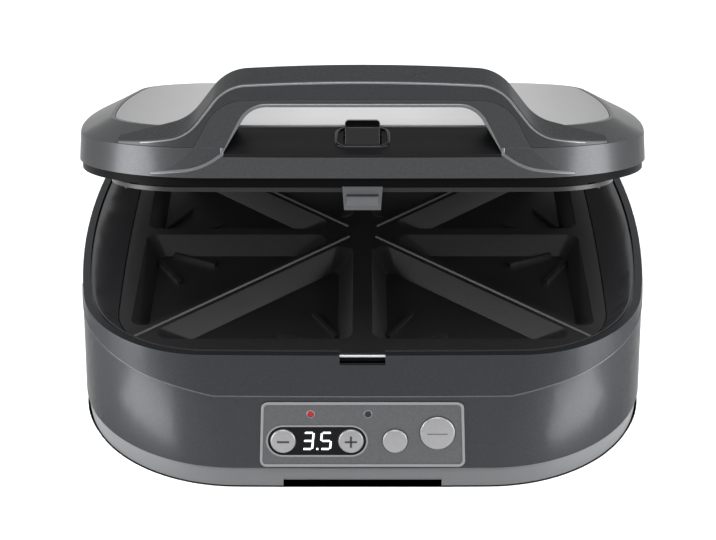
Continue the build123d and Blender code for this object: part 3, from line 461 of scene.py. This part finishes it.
def nonstick_finish():
    """Dark nonstick coat with a fine fleck over die-cast metal."""
    finish = Finish(
        "nonstick coat", (0.010, 0.010, 0.0105), Metallic=0.1, Specular_IOR_Level=0.35,
        Coat_Weight=0.08, Coat_Roughness=0.3,
    )
    finish.flaked(2600.0, (0.035, 0.035, 0.036), 0.5)
    finish.grain(1300.0, 0.30, 0.42, 0.25)
    return finish.worn((0.03, 0.03, 0.031), 0.4).material


def brushed_finish():
    """Brushed metal of the panel on the lid, whose colour darkens towards its sides: a painted
    highlight along its middle and painted shade at its sides.
    """
    painted_highlight_half_width, painted_shade_half_width = 0.03, 0.15
    finish = Finish("brushed panel", (0.56, 0.56, 0.57), Metallic=0.9, Roughness=0.36)
    finish.brushed(1500.0, 9.0, 0.12, (0.5, 0.5, 0.51))
    tree = finish.tree
    # Painted highlight and shade: full colour near the middle in X, mixed towards dark grey towards
    # the sides
    split = add_node(tree, "ShaderNodeSeparateXYZ", Vector=object_place(tree))
    away = add_math(tree, "ABSOLUTE", split.outputs["X"])
    reach = add_node(
        tree, "ShaderNodeMapRange", Value=away.outputs[0],
        From_Min=painted_highlight_half_width, From_Max=painted_shade_half_width,
    )
    return finish.tint(reach.outputs["Result"], (0.16, 0.16, 0.165)).material


def steel_finish(name, color, roughness):
    finish = Finish(name, color, Metallic=1.0)
    finish.grain(900.0, roughness - 0.06, roughness + 0.08, 0.08)
    return finish.worn(scaled(color, 1.5), 0.4).material


def silver_button_finish():
    finish = Finish("silver caps", (0.26, 0.26, 0.27), Metallic=0.7)
    finish.flaked(6000.0, (0.5, 0.5, 0.51), 0.4)
    return finish.grain(2400.0, 0.36, 0.44, 0.06).material


def trim_finish():
    finish = Finish("silver trim", (0.26, 0.26, 0.27), Metallic=0.8)
    return finish.grain(2000.0, 0.3, 0.4, 0.05).material


def display_finish():
    finish = Finish("display window", (0.002, 0.002, 0.003), Specular_IOR_Level=0.12)
    return finish.grain(700.0, 0.1, 0.16, 0.01).material


def lit_finish(name, color, glow):
    """A lit element: its colour with a plain emission."""
    finish = Finish(name, color, Emission_Color=(*color, 1.0), Emission_Strength=glow)
    return finish.grain(900.0, 0.25, 0.35, 0.02).material


def lens_finish(name, color, glow):
    finish = Finish(
        name, color, Coat_Weight=0.15, Coat_Roughness=0.05, Specular_IOR_Level=0.2,
        Emission_Color=(*color, 1.0), Emission_Strength=glow,
    )
    return finish.grain(600.0, 0.12, 0.2, 0.02).material


def rubber_finish():
    finish = Finish("black rubber", (0.018, 0.018, 0.018))
    return finish.grain(1500.0, 0.65, 0.8, 0.3, depth=0.05).material


def board_finish():
    finish = Finish("circuit laminate", (0.012, 0.09, 0.03), Coat_Weight=0.4)
    return finish.grain(300.0, 0.35, 0.5, 0.1).material


def copper_finish():
    finish = Finish("plated copper", (0.62, 0.36, 0.2), Metallic=1.0)
    return finish.grain(700.0, 0.25, 0.4, 0.1).material


def mark_finish():
    finish = Finish("dark print", (0.03, 0.03, 0.032))
    return finish.grain(1500.0, 0.5, 0.6, 0.05).material


class FinishSettings(bpy.types.PropertyGroup):
    # The casing and the lid carry one lacquer in two copies: the casing's darker copy is painted
    # shade, the lid's lighter copy painted light
    lacquer: bpy.props.FloatVectorProperty(
        name="Lacquer", description="Colour of the painted casing",
        default=(0.030, 0.0315, 0.034), **COLOR,
    )
    lid: bpy.props.FloatVectorProperty(
        name="Lid lacquer", description="Colour of the painted lid and handle",
        default=(0.047, 0.049, 0.051), **COLOR,
    )
    panel: bpy.props.FloatVectorProperty(
        name="Panel lacquer", description="Colour of the control panel",
        default=(0.076, 0.079, 0.082), **COLOR,
    )
    tray: bpy.props.FloatVectorProperty(
        name="Tray", description="Colour of the tray under the casing",
        default=(0.15, 0.156, 0.162), **COLOR,
    )
    dark: bpy.props.FloatVectorProperty(
        name="Dark moulding", description="Colour of the surround, frame and cover",
        default=(0.013, 0.013, 0.014), **COLOR,
    )
    edge: bpy.props.FloatProperty(
        name="Edge radius", description="Rounding of the moulded edges",
        default=0.0006, min=0.0, max=0.003, **LENGTH,
    )


class DisplaySettings(bpy.types.PropertyGroup):
    shown: bpy.props.StringProperty(
        name="Shown", description="The two digits on the display", default="35"
    )
    height: bpy.props.FloatProperty(
        name="Digit height", description="Height of a digit", default=0.0115, **LENGTH
    )
    stroke: bpy.props.FloatProperty(
        name="Stroke", description="Width of a segment", default=0.0012, **LENGTH
    )
    gap: bpy.props.FloatProperty(
        name="Gap", description="Space between the ends of two segments", default=0.0002, **LENGTH
    )
    slant: bpy.props.FloatProperty(
        name="Slant", description="How far a digit leans to the right for its height", default=0.1
    )
    glow: bpy.props.FloatProperty(
        name="Glow", description="Strength of the lit segments", default=0.8, min=0.0
    )


class StageSettings(bpy.types.PropertyGroup):
    floor: bpy.props.FloatVectorProperty(
        name="Floor", description="Colour of the floor",
        default=(0.88, 0.88, 0.88), **COLOR,
    )
    world: bpy.props.FloatProperty(
        name="World", description="Light from all round", default=0.5, min=0.0
    )
    key: bpy.props.FloatProperty(
        name="Key lamp", description="Power of the large lamp overhead",
        default=12.0, **POWER,
    )
    side: bpy.props.FloatProperty(
        name="Side lamps", description="Power of each tall lamp at the sides",
        default=1.3, **POWER,
    )
    low: bpy.props.FloatProperty(
        name="Low lamps", description="Power of each small lamp on the floor beside the casing",
        default=0.2, **POWER,
    )
    rear: bpy.props.FloatProperty(
        name="Rear lamps", description="Power of each lamp behind the lid, at its sides",
        default=3.0, **POWER,
    )


def settings():
    return bpy.context.scene.sandwich_finish


# Control panel geometry, read from the display window's own face
def panel_frame():
    """The middle of the display window's front, with the panel's right, up and outward."""
    mesh = frame["nodes"]["display_window"].data
    least_front, most_aside = 0.9, 0.01
    front = [
        p for p in mesh.polygons
        if -p.normal.y > least_front and abs(p.normal.x) < most_aside
    ]
    outward = sum((p.normal * p.area for p in front), Vector()).normalized()
    right = Vector((1, 0, 0))
    up = outward.cross(right).normalized()
    if up.z < 0:
        up = -up
    low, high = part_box("display_window")
    middle = (low + high) / 2
    reach = max((mesh.vertices[i].co - middle).dot(outward) for p in front for i in p.vertices)
    return middle + outward * reach, right, up, outward


def slab(work, corners, foot, top, outward):
    """A flat polygon between two heights along the outward direction."""
    lower = [work.verts.new(c + outward * foot) for c in corners]
    upper = [work.verts.new(c + outward * top) for c in corners]
    work.faces.new(upper)
    work.faces.new(list(reversed(lower)))
    for i in range(len(corners)):
        j = (i + 1) % len(corners)
        work.faces.new((lower[i], lower[j], upper[j], upper[i]))


def mesh_from(work, name):
    bmesh.ops.recalc_face_normals(work, faces=work.faces)
    mesh = bpy.data.meshes.new(name)
    work.to_mesh(mesh)
    work.free()
    return mesh


def rounded_rectangle(width, height, radius):
    """The outline of a rectangle with rounded corners, anticlockwise from its right side."""
    outline = []
    steps = 8
    for turn, (x, y) in enumerate(((1, 1), (-1, 1), (-1, -1), (1, -1))):
        for step in range(steps + 1):
            angle = math.radians(90 * turn + 90 * step / steps)
            outline.append((
                x * (width / 2 - radius) + radius * math.cos(angle),
                y * (height / 2 - radius) + radius * math.sin(angle),
            ))
    return outline


def crown(piece, outward, drop):
    """Round a flat cap's top into a shallow dome by lowering it towards its rim."""
    rings, ring_width, rim_depth = 4, 0.2, 1.2 * MM

    def height_and_area(face):
        return round(face.calc_center_median().dot(outward), 5), face.calc_area()

    work = bmesh.new()
    work.from_mesh(piece.data)
    top = max(work.faces, key=height_and_area)
    middle = top.calc_center_median()
    level = middle.dot(outward)
    reach = max((v.co - middle).length for v in top.verts)
    for _ in range(rings):
        bmesh.ops.inset_individual(work, faces=[top], thickness=reach * ring_width, depth=0)
    for vert in work.verts:
        height = vert.co.dot(outward)
        if height > level - rim_depth:
            away = (vert.co - middle - outward * (height - level)).length
            vert.co -= outward * drop * (away / reach) ** 2
    for face in work.faces:
        face.smooth = True
    work.to_mesh(piece.data)
    work.free()


def bar_corners(middle, right, up, width, height):
    """The corners of an upright rectangle on the control panel."""
    signs = ((-1, -1), (1, -1), (1, 1), (-1, 1))
    return [middle + right * (x * width / 2) + up * (y * height / 2) for x, y in signs]


SEGMENTS = {
    "0": "abcdef", "1": "bc", "2": "abdeg", "3": "abcdg", "4": "bcfg",
    "5": "acdfg", "6": "acdefg", "7": "abc", "8": "abcdefg", "9": "abcdfg",
}


def segment_places(width, height):
    """Each segment's place in a digit, and whether it stands upright."""
    w, h = width / 2, height / 2
    return {
        "a": (0, h, False), "g": (0, 0, False), "d": (0, -h, False),
        "b": (w, h / 2, True), "c": (w, -h / 2, True),
        "f": (-w, h / 2, True), "e": (-w, -h / 2, True),
    }


# Operators, one for each piece or group of like pieces
class SANDWICH_OT_casing(bpy.types.Operator):
    """Lacquer the casing, the lid, the handle and the control panel"""

    bl_idname = "sandwich.casing"
    bl_label = "Painted casing"

    def execute(self, context):
        values = settings()
        edge = values.edge / MM
        # The casing's lacquer: the darker copy, painted shade on the lower body
        dress("base_housing", lacquer_finish(values.lacquer), edge, fold=2.4)
        # The fold's bead is lacquered 1.8 times lighter than the casing: a painted highlight along
        # the fold
        add_bead(
            "fascia_bead", "base_housing", is_fascia_fold, 0.55, (0.125, 0.125),
            lacquer_finish(scaled(values.lacquer, 1.8)),
        )
        # The lid's lacquer: the lighter copy, painted light on the lid
        dress("lid_shell", lacquer_finish(values.lid), edge, smooth=12.0)
        # The handle's lacquer is a darker copy of the lid's, 0.75 times with a thinner coat:
        # painted shade on its upward-facing top
        dress("handle", lacquer_finish(scaled(values.lid, 0.75), 0.05), 1.6)
        # The handle's edge bead is lacquered 3.2 times lighter than the lid: a painted highlight
        # along the handle's top front edge
        add_bead(
            "handle_bead", "handle", is_top_edge, 1.1, (0.6, 1.15),
            lacquer_finish(scaled(values.lid, 3.2), 0.2),
        )
        dress("control_panel", lacquer_finish(values.panel), 0.25)
        return {"FINISHED"}


class SANDWICH_OT_tray(bpy.types.Operator):
    """Finish the tray, its screws and its feet"""

    bl_idname = "sandwich.tray"
    bl_label = "Tray and feet"

    def execute(self, context):
        dress("base_tray", tray_finish(settings().tray), 0.4)
        finish_node("rubber_feet", rubber_finish())
        finish_node("tray_screws", steel_finish("screw steel", (0.42, 0.42, 0.43), 0.4))
        return {"FINISHED"}


class SANDWICH_OT_dark_parts(bpy.types.Operator):
    """Finish the dark mouldings round the plates and under the handle"""

    bl_idname = "sandwich.dark_parts"
    bl_label = "Dark mouldings"

    def execute(self, context):
        dark, lid = settings().dark, settings().lid
        surround = dark_finish("surround moulding", scaled(dark, 2.2), 0.2, 0.28)
        dress("base_surround", surround, 0.5)
        # The underframe's moulding is a darker copy of the dark colour, 0.2 times: partly its own
        # near-black, partly painted shade under the lid's edge
        satin = dark_finish("satin moulding", scaled(dark, 0.2), 0.4, 0.5, 0.04)
        finish_node("lid_underframe", satin)
        dress("handle_underside", lacquer_finish(scaled(lid, 0.9)), 1.6)
        # The opening's bead is lacquered 2.4 times lighter than the lid: a painted highlight along
        # the opening's front edge
        add_bead(
            "handle_opening_bead", "handle_underside", is_opening_edge, 1.1, (0.6, 0.6),
            lacquer_finish(scaled(lid, 2.4), 0.2),
        )
        cover = dark_finish("cover moulding", dark, 0.34, 0.42, 0.05)
        dress("latch_cover", cover, 0.4)
        return {"FINISHED"}


class SANDWICH_OT_plates(bpy.types.Operator):
    """Coat both cooking plates"""

    bl_idname = "sandwich.plates"
    bl_label = "Cooking plates"

    def execute(self, context):
        coat = nonstick_finish()
        for node in ("lower_plate", "upper_plate"):
            dress(node, coat, 0.8)
        return {"FINISHED"}


class SANDWICH_OT_metal(bpy.types.Operator):
    """Finish the metal pieces"""

    bl_idname = "sandwich.metal"
    bl_label = "Metal pieces"

    def execute(self, context):
        dress("lid_top_panel", brushed_finish(), 0.4)
        steel = steel_finish("plain steel", (0.5, 0.5, 0.51), 0.32)
        for node in (
            "hinge_pin_left", "hinge_pin_right", "latch_pin", "latch_spring", "strike_bar",
            "lid_screws", "lower_plate_screws", "upper_plate_screws",
            "lower_heating_element", "upper_heating_element",
        ):
            finish_node(node, steel)
        sheet = steel_finish("reflector sheet", (0.6, 0.61, 0.62), 0.3)
        finish_node("lower_reflector", sheet)
        finish_node("upper_reflector", sheet)
        coated = steel_finish("coated hook steel", (0.13, 0.135, 0.14), 0.45)
        dress("latch_hook", coated, 0.3)
        return {"FINISHED"}


class SANDWICH_OT_electrics(bpy.types.Operator):
    """Finish the boards and what stands on them"""

    bl_idname = "sandwich.electrics"
    bl_label = "Electrics"

    def execute(self, context):
        board = board_finish()
        body = dark_finish("component body", (0.05, 0.05, 0.055), 0.4, 0.5)
        copper = copper_finish()
        for node in ("power_board", "control_board"):
            finish_node(node, board)
        for node in ("relay", "transformer", "terminal_block", "display_module", "tact_switches"):
            finish_node(node, body)
        for side in ("lower", "upper"):
            finish_node(side + "_temperature_sensor", copper)
            finish_node(side + "_thermal_fuse", copper)
        finish_node("cord_gland", rubber_finish())
        return {"FINISHED"}


class SANDWICH_OT_buttons(bpy.types.Operator):
    """Finish the push buttons, the latch button and their marks"""

    bl_idname = "sandwich.buttons"
    bl_label = "Buttons"

    def execute(self, context):
        silver = silver_button_finish()
        outward = panel_frame()[3]
        for name in ("minus", "plus", "extra", "start"):
            crown(dress(name + "_button", silver, 0.3), outward, 0.4 * MM)
        cap = dark_finish("latch cap", (0.012, 0.012, 0.013), 0.16, 0.24, 0.3)
        dress("latch_button", cap, 1.6)
        self.add_collar()
        self.add_marks(mark_finish())
        return {"FINISHED"}

    def add_collar(self):
        """The low rounded rim on the sloping panel round the latch button."""
        cover = frame["nodes"]["latch_cover"].data
        top = max((p for p in cover.polygons if p.normal.z > 0.5), key=lambda p: p.area)
        outward = top.normal.copy()
        right = Vector((1, 0, 0))
        up = outward.cross(right).normalized()
        low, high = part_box("latch_button")
        middle = (low + high) / 2
        middle += outward * (cover.vertices[top.vertices[0]].co - middle).dot(outward)
        # The rim's outline, and its section as insets with heights over the panel, in mm
        width, depth, corner = 32.0, 23.0, 7.0
        section = [(0, -0.1), (0.1, 0.4), (0.6, 1.0), (1.6, 1.0), (2.1, 0.4), (2.2, -0.1)]
        work = bmesh.new()
        rings = []
        for inset, height in section:
            outline = rounded_rectangle(width - 2 * inset, depth - 2 * inset, corner - inset)
            rings.append([
                work.verts.new(middle + (right * x + up * y + outward * height) * MM)
                for x, y in outline
            ])
        for ring, after in zip(rings, rings[1:] + rings[:1]):
            for i in range(len(ring)):
                j = (i + 1) % len(ring)
                work.faces.new((ring[i], ring[j], after[j], after[i]))
        mesh = mesh_from(work, "latch_collar")
        smooth_by_angle(mesh, 60.0)
        rim = dark_finish("collar moulding", scaled(settings().dark, 0.5), 0.3, 0.38, 0.3)
        add_piece("latch_collar", mesh, "lid", rim)

    def add_marks(self, print_finish):
        """A minus, a plus and a dividing line, printed on the caps."""
        _, right, up, outward = panel_frame()
        long, thick = 7.2, 1.3
        marks = {
            "minus": [(long, thick)],
            "plus": [(long, thick), (thick, long)],
            "start": [(12.0, 0.4)],
        }
        for name, bars in marks.items():
            node = name + "_button"
            mesh = frame["nodes"][node].data
            low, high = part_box(node)
            middle = (low + high) / 2
            face = max((v.co - middle).dot(outward) for v in mesh.vertices)
            work = bmesh.new()
            for width, height in bars:
                corners = bar_corners(middle, right, up, width * MM, height * MM)
                slab(work, corners, face - 0.1 * MM, face + 0.05 * MM, outward)
            made = mesh_from(work, name + "_mark")
            add_piece(name + "_mark", made, BODY_OF[node], print_finish)


class SANDWICH_OT_display(bpy.types.Operator):
    """Finish the display and its lamps, and light its digits"""

    bl_idname = "sandwich.display"
    bl_label = "Display"

    def execute(self, context):
        trim = trim_finish()
        dress("panel_bezel", trim, 0.45)
        finish_node("display_ring", trim)
        finish_node("display_window", display_finish())
        dress("power_lamp", lens_finish("red lamp", (0.34, 0.012, 0.016), 0.04), 0.3)
        dress("ready_lamp", lens_finish("dark lamp", (0.012, 0.014, 0.03), 0.0), 0.3)
        self.add_lamp_rings(trim)
        self.add_digits(context.scene.sandwich_display)
        return {"FINISHED"}

    def add_lamp_rings(self, trim):
        """The bright rim round each of the two lamps."""
        sizes = {"Radius": 2.25 * MM, "Thickness": 0.3 * MM}
        face, _, _, outward = panel_frame()
        points = bpy.data.meshes.new("lamp_places")
        places = []
        for name in ("power_lamp", "ready_lamp"):
            low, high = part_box(name)
            middle = (low + high) / 2
            places.append(middle + outward * (face - middle).dot(outward))
        points.from_pydata(places, [], [])
        lean = math.atan2(-outward.y, outward.z)
        made = grown(points, ring_tree(trim, lean), sizes)
        add_piece("lamp_rings", made, "base", trim)

    def add_digits(self, values):
        """Seven-segment digits: one bar, instanced on points by a Geometry Nodes tree."""
        middle, right, up, outward = panel_frame()
        height, stroke = values.height, values.stroke
        width, pitch = height * 0.5, height * 0.92
        lift = outward * (SEGMENT_HEIGHT / 2)
        points = bmesh.new()
        turned = points.verts.layers.float.new("turned")
        for place, digit in enumerate(values.shown):
            across = (place - (len(values.shown) - 1) / 2) * pitch
            spots = segment_places(width, height - stroke)
            for name in SEGMENTS[digit]:
                x, y, standing = spots[name]
                point = points.verts.new(middle + right * (across + x) + up * y + lift)
                point[turned] = math.pi / 2 if standing else 0.0
        mesh = bpy.data.meshes.new("digit_points")
        points.to_mesh(mesh)
        points.free()
        glow = lit_finish("lit segment", (0.95, 0.97, 1.0), values.glow)
        sizes = {
            "Length": (height - stroke) / 2 - values.gap, "Stroke": stroke,
            "Middle": middle.z, "Slant": values.slant,
        }
        made = grown(mesh, segment_tree(glow, math.atan2(up.y, up.z)), sizes)
        add_piece("display_digits", made, "base", glow)
        dot = bmesh.new()
        half = stroke * 0.5
        spot = middle + right * (half * 0.2) - up * (height / 2 - half)
        slab(dot, bar_corners(spot, right, up, stroke, stroke), 0, SEGMENT_HEIGHT, outward)
        add_piece("display_point", mesh_from(dot, "display_point"), "base", glow)


# Geometry Nodes trees
def tree_with(name, sizes):
    """A Geometry Nodes tree with a geometry in, the named sizes in and a geometry out."""
    tree = bpy.data.node_groups.new(name, "GeometryNodeTree")
    tree.interface.new_socket("Geometry", in_out="INPUT", socket_type="NodeSocketGeometry")
    for label, default in sizes:
        socket = tree.interface.new_socket(label, in_out="INPUT", socket_type="NodeSocketFloat")
        socket.default_value = default
    tree.interface.new_socket("Geometry", in_out="OUTPUT", socket_type="NodeSocketGeometry")
    return tree, tree.nodes.new("NodeGroupInput"), tree.nodes.new("NodeGroupOutput")


def socket_id(tree, label):
    return next(i.identifier for i in tree.interface.items_tree if i.name == label)


def add_step(tree, kind, geometry, **inputs):
    """The geometry that a node makes of another."""
    node = add_node(tree, "GeometryNode" + kind, Geometry=geometry, **inputs)
    return node.outputs["Geometry"]


def tube_on(tree, curve, radius, finish, out):
    """A round tube along a curve, in the given finish, as the tree's result."""
    profile = add_node(tree, "GeometryNodeCurvePrimitiveCircle", Resolution=10, Radius=radius)
    tube = add_node(
        tree, "GeometryNodeCurveToMesh", Curve=curve, Profile_Curve=profile.outputs["Curve"],
        Fill_Caps=True,
    )
    real = add_step(tree, "RealizeInstances", tube.outputs["Mesh"])
    smooth = add_step(tree, "SetShadeSmooth", real)
    attach(tree, out.inputs["Geometry"], add_step(tree, "SetMaterial", smooth, Material=finish))


def tube_tree(finish):
    """A round bead along the edges of a mesh."""
    tree, given, out = tree_with("bead", [("Radius", 0.0004)])
    line = add_node(tree, "GeometryNodeMeshToCurve", Mesh=given.outputs["Geometry"])
    tube_on(tree, line.outputs["Curve"], given.outputs["Radius"], finish, out)
    return tree


def ring_tree(finish, lean):
    """A round ring on every point, leaning with the panel."""
    tree, given, out = tree_with("rings", [("Radius", 0.0023), ("Thickness", 0.0003)])
    circle = add_node(
        tree, "GeometryNodeCurvePrimitiveCircle", Resolution=32, Radius=given.outputs["Radius"]
    )
    set_out = add_node(
        tree, "GeometryNodeInstanceOnPoints", Points=given.outputs["Geometry"],
        Instance=circle.outputs["Curve"], Rotation=(lean, 0, 0),
    )
    real = add_step(tree, "RealizeInstances", set_out.outputs["Instances"])
    tube_on(tree, real, given.outputs["Thickness"], finish, out)
    return tree


def segment_tree(finish, tilt):
    """A pointed bar on every point, upright where the point says so, all of them slanted."""
    sizes = [("Length", 0.005), ("Stroke", 0.0015), ("Middle", 0.03), ("Slant", 0.1)]
    tree, given, out = tree_with("seven segments", sizes)

    def number(operation, *values):
        return add_math(tree, operation, *values).outputs[0]

    def place(axis):
        position = tree.nodes.new("GeometryNodeInputPosition")
        split = add_node(tree, "ShaderNodeSeparateXYZ", Vector=position.outputs[0])
        return split.outputs[axis]

    def moved(geometry, offset_x):
        offset = add_node(tree, "ShaderNodeCombineXYZ", X=offset_x)
        return add_step(tree, "SetPosition", geometry, Offset=offset.outputs[0])

    radius = number("DIVIDE", given.outputs["Stroke"], 2 * math.cos(math.pi / 6))
    hexagon = add_node(
        tree, "GeometryNodeMeshCylinder", Vertices=6, Depth=SEGMENT_HEIGHT, Radius=radius
    )
    lying = add_step(tree, "Transform", hexagon.outputs["Mesh"], Rotation=(math.pi / 2, 0, 0))
    stretch = number("SUBTRACT", number("DIVIDE", given.outputs["Length"], 2), radius)
    bar = moved(lying, number("MULTIPLY", number("SIGN", place("X")), stretch))
    turned = add_node(tree, "GeometryNodeInputNamedAttribute", Name="turned")
    turn = add_node(tree, "ShaderNodeCombineXYZ", Y=turned.outputs["Attribute"])
    set_out = add_node(
        tree, "GeometryNodeInstanceOnPoints", Points=given.outputs["Geometry"], Instance=bar,
        Rotation=(-tilt, 0, 0),
    )
    spin = add_node(
        tree, "GeometryNodeRotateInstances", Instances=set_out.outputs["Instances"],
        Rotation=turn.outputs[0], Local_Space=True,
    )
    real = add_step(tree, "RealizeInstances", spin.outputs["Instances"])
    rise = number("SUBTRACT", place("Z"), given.outputs["Middle"])
    slanted = moved(real, number("MULTIPLY", rise, given.outputs["Slant"]))
    attach(tree, out.inputs["Geometry"], add_step(tree, "SetMaterial", slanted, Material=finish))
    return tree


# Stage
def seen_rays(tree):
    """1 for the rays that show the background: straight, mirrored or through glass."""
    path = tree.nodes.new("ShaderNodeLightPath")
    seen = path.outputs["Is Camera Ray"]
    for label in ("Is Glossy Ray", "Is Transmission Ray"):
        seen = add_math(tree, "MAXIMUM", seen, path.outputs[label]).outputs[0]
    return seen


def area_lamp(name, place, target, width, height, power):
    """A rectangular lamp at a place, turned to a target."""
    lamp = bpy.data.lights.new(name, "AREA")
    lamp.shape = "RECTANGLE"
    lamp.size, lamp.size_y = width, height
    lamp.energy = power
    holder = bpy.data.objects.new(name, lamp)
    bpy.context.scene.collection.objects.link(holder)
    holder.location = place
    aim = Vector(target) - Vector(place)
    holder.rotation_euler = aim.to_track_quat("-Z", "Y").to_euler()


class SANDWICH_OT_stage(bpy.types.Operator):
    """Set the floor, the lamps and the camera"""

    bl_idname = "sandwich.stage"
    bl_label = "Stage"

    def execute(self, context):
        values = context.scene.sandwich_stage
        self.add_floor(values)
        self.add_shade()
        self.light(context, values)
        self.add_camera(context)
        context.scene.view_settings.view_transform = "Standard"
        return {"FINISHED"}

    def add_floor(self, values):
        """A floor that shows near white behind the object and still takes its shadow."""
        half, glow = 6.0, 0.35
        mesh = bpy.data.meshes.new("floor")
        corners = [(-half, -half, 0), (half, -half, 0), (half, half, 0), (-half, half, 0)]
        mesh.from_pydata(corners, [], [(0, 1, 2, 3)])
        floor = bpy.data.objects.new("floor", mesh)
        bpy.context.scene.collection.objects.link(floor)
        paper = Finish("floor paper", values.floor, Roughness=0.9)
        tree = paper.tree
        strength = mapped(tree, seen_rays(tree), 0.0, glow)
        light = add_node(tree, "ShaderNodeEmission", Strength=strength)
        both = tree.nodes.new("ShaderNodeAddShader")
        attach(tree, both.inputs[0], paper.shader.outputs[0])
        attach(tree, both.inputs[1], light.outputs[0])
        attach(tree, tree.nodes["Material Output"].inputs["Surface"], both.outputs[0])
        mesh.materials.append(paper.material)

    def add_shade(self):
        """A painted shadow: a dark patch on the floor under the tray, which the notch at its front
        shows.
        """
        low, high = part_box("base_tray")
        middle = (low + high) / 2
        wider, lift = 1.004, 0.3 * MM
        work = bmesh.new()
        for vert in frame["nodes"]["base_tray"].data.vertices:
            away = vert.co - middle
            work.verts.new((middle.x + away.x * wider, middle.y + away.y * wider, lift))
        bmesh.ops.remove_doubles(work, verts=work.verts, dist=0.01 * MM)
        hull = bmesh.ops.convex_hull(work, input=work.verts)
        outline = {v for v in hull["geom"] if isinstance(v, bmesh.types.BMVert)}
        for vert in [v for v in work.verts if v not in outline]:
            work.verts.remove(vert)
        mesh = mesh_from(work, "floor_shade")
        shade = bpy.data.objects.new("floor_shade", mesh)
        bpy.context.scene.collection.objects.link(shade)
        mesh.materials.append(Finish("shaded floor", (0.02, 0.02, 0.02), Roughness=0.9).material)

    def light(self, context, values):
        """The world's light, one lamp overhead and three at each side."""
        world = bpy.data.worlds.new("studio")
        context.scene.world = world
        world.use_nodes = True
        tree = world.node_tree
        back = tree.nodes["Background"]
        back.inputs["Color"].default_value = (1, 1, 1, 1)
        attach(tree, back.inputs["Strength"], mapped(tree, seen_rays(tree), values.world, 1.0))
        middle = (0, 0, 0.1)
        area_lamp("overhead lamp", (0, -0.45, 1.5), middle, 1.0, 0.6, values.key)
        for side, name in ((-1, "left"), (1, "right")):
            area_lamp(
                name + " lamp", (side * 0.42, -0.22, 0.16), (side * 0.14, -0.1, 0.08),
                0.2, 0.3, values.side,
            )
            area_lamp(
                name + " low lamp", (side * 0.222, -0.205, 0.003), (side * 0.221, -0.204, 0.1),
                0.1, 0.1, values.low,
            )
            area_lamp(
                name + " rear lamp", (side * 0.8, 0.7, 1.0), (side * 0.12, 0, 0.13),
                0.5, 0.5, values.rear,
            )

    def add_camera(self, context):
        """The photograph's view, found by fitting a pinhole camera to the object's outline."""
        image_width = 716.0
        focal_pixels = 2014.7
        distance = 1.296
        height_angle = math.radians(30.96)
        target = Vector((0, -0.0225, 0.060))
        object_column = 362.5
        camera = bpy.data.cameras.new("camera")
        camera.sensor_width = 36.0
        camera.lens = focal_pixels / image_width * camera.sensor_width
        camera.shift_x = (image_width / 2 - object_column) / image_width
        camera.clip_start, camera.clip_end = 0.05, 50.0
        holder = bpy.data.objects.new("camera", camera)
        context.scene.collection.objects.link(holder)
        back = Vector((0, -math.cos(height_angle), math.sin(height_angle)))
        holder.location = target + back * distance
        holder.rotation_euler = (-back).to_track_quat("-Z", "Y").to_euler()
        context.scene.camera = holder


OPERATORS = (
    SANDWICH_OT_casing,
    SANDWICH_OT_tray,
    SANDWICH_OT_dark_parts,
    SANDWICH_OT_plates,
    SANDWICH_OT_metal,
    SANDWICH_OT_electrics,
    SANDWICH_OT_buttons,
    SANDWICH_OT_display,
    SANDWICH_OT_stage,
)


class SANDWICH_PT_pieces(bpy.types.Panel):
    """The pieces in the order in which they are dressed"""

    bl_idname = "SANDWICH_PT_pieces"
    bl_label = "Sandwich maker"
    bl_space_type = "VIEW_3D"
    bl_region_type = "UI"
    bl_category = "Sandwich maker"

    def draw(self, context):
        scene = context.scene
        for values in (scene.sandwich_finish, scene.sandwich_display, scene.sandwich_stage):
            for name in values.bl_rna.properties.keys():
                if name not in {"rna_type", "name"}:
                    self.layout.prop(values, name)
        for operator in OPERATORS:
            self.layout.operator(operator.bl_idname)


SETTINGS = (FinishSettings, DisplaySettings, StageSettings)
CLASSES = SETTINGS + OPERATORS + (SANDWICH_PT_pieces,)


def register():
    for cls in CLASSES:
        bpy.utils.register_class(cls)
    bpy.types.Scene.sandwich_finish = bpy.props.PointerProperty(type=FinishSettings)
    bpy.types.Scene.sandwich_display = bpy.props.PointerProperty(type=DisplaySettings)
    bpy.types.Scene.sandwich_stage = bpy.props.PointerProperty(type=StageSettings)


def unregister():
    del bpy.types.Scene.sandwich_stage
    del bpy.types.Scene.sandwich_display
    del bpy.types.Scene.sandwich_finish
    for cls in reversed(CLASSES):
        bpy.utils.unregister_class(cls)


def main():
    register()
    GROUPS["grain"] = make_grain_group()
    GROUPS["brush"] = make_brush_group()
    GROUPS["wear"] = make_wear_group()
    for operator in OPERATORS:
        family, name = operator.bl_idname.split(".")
        getattr(getattr(bpy.ops, family), name)()


if __name__ == "__main__":
    main()
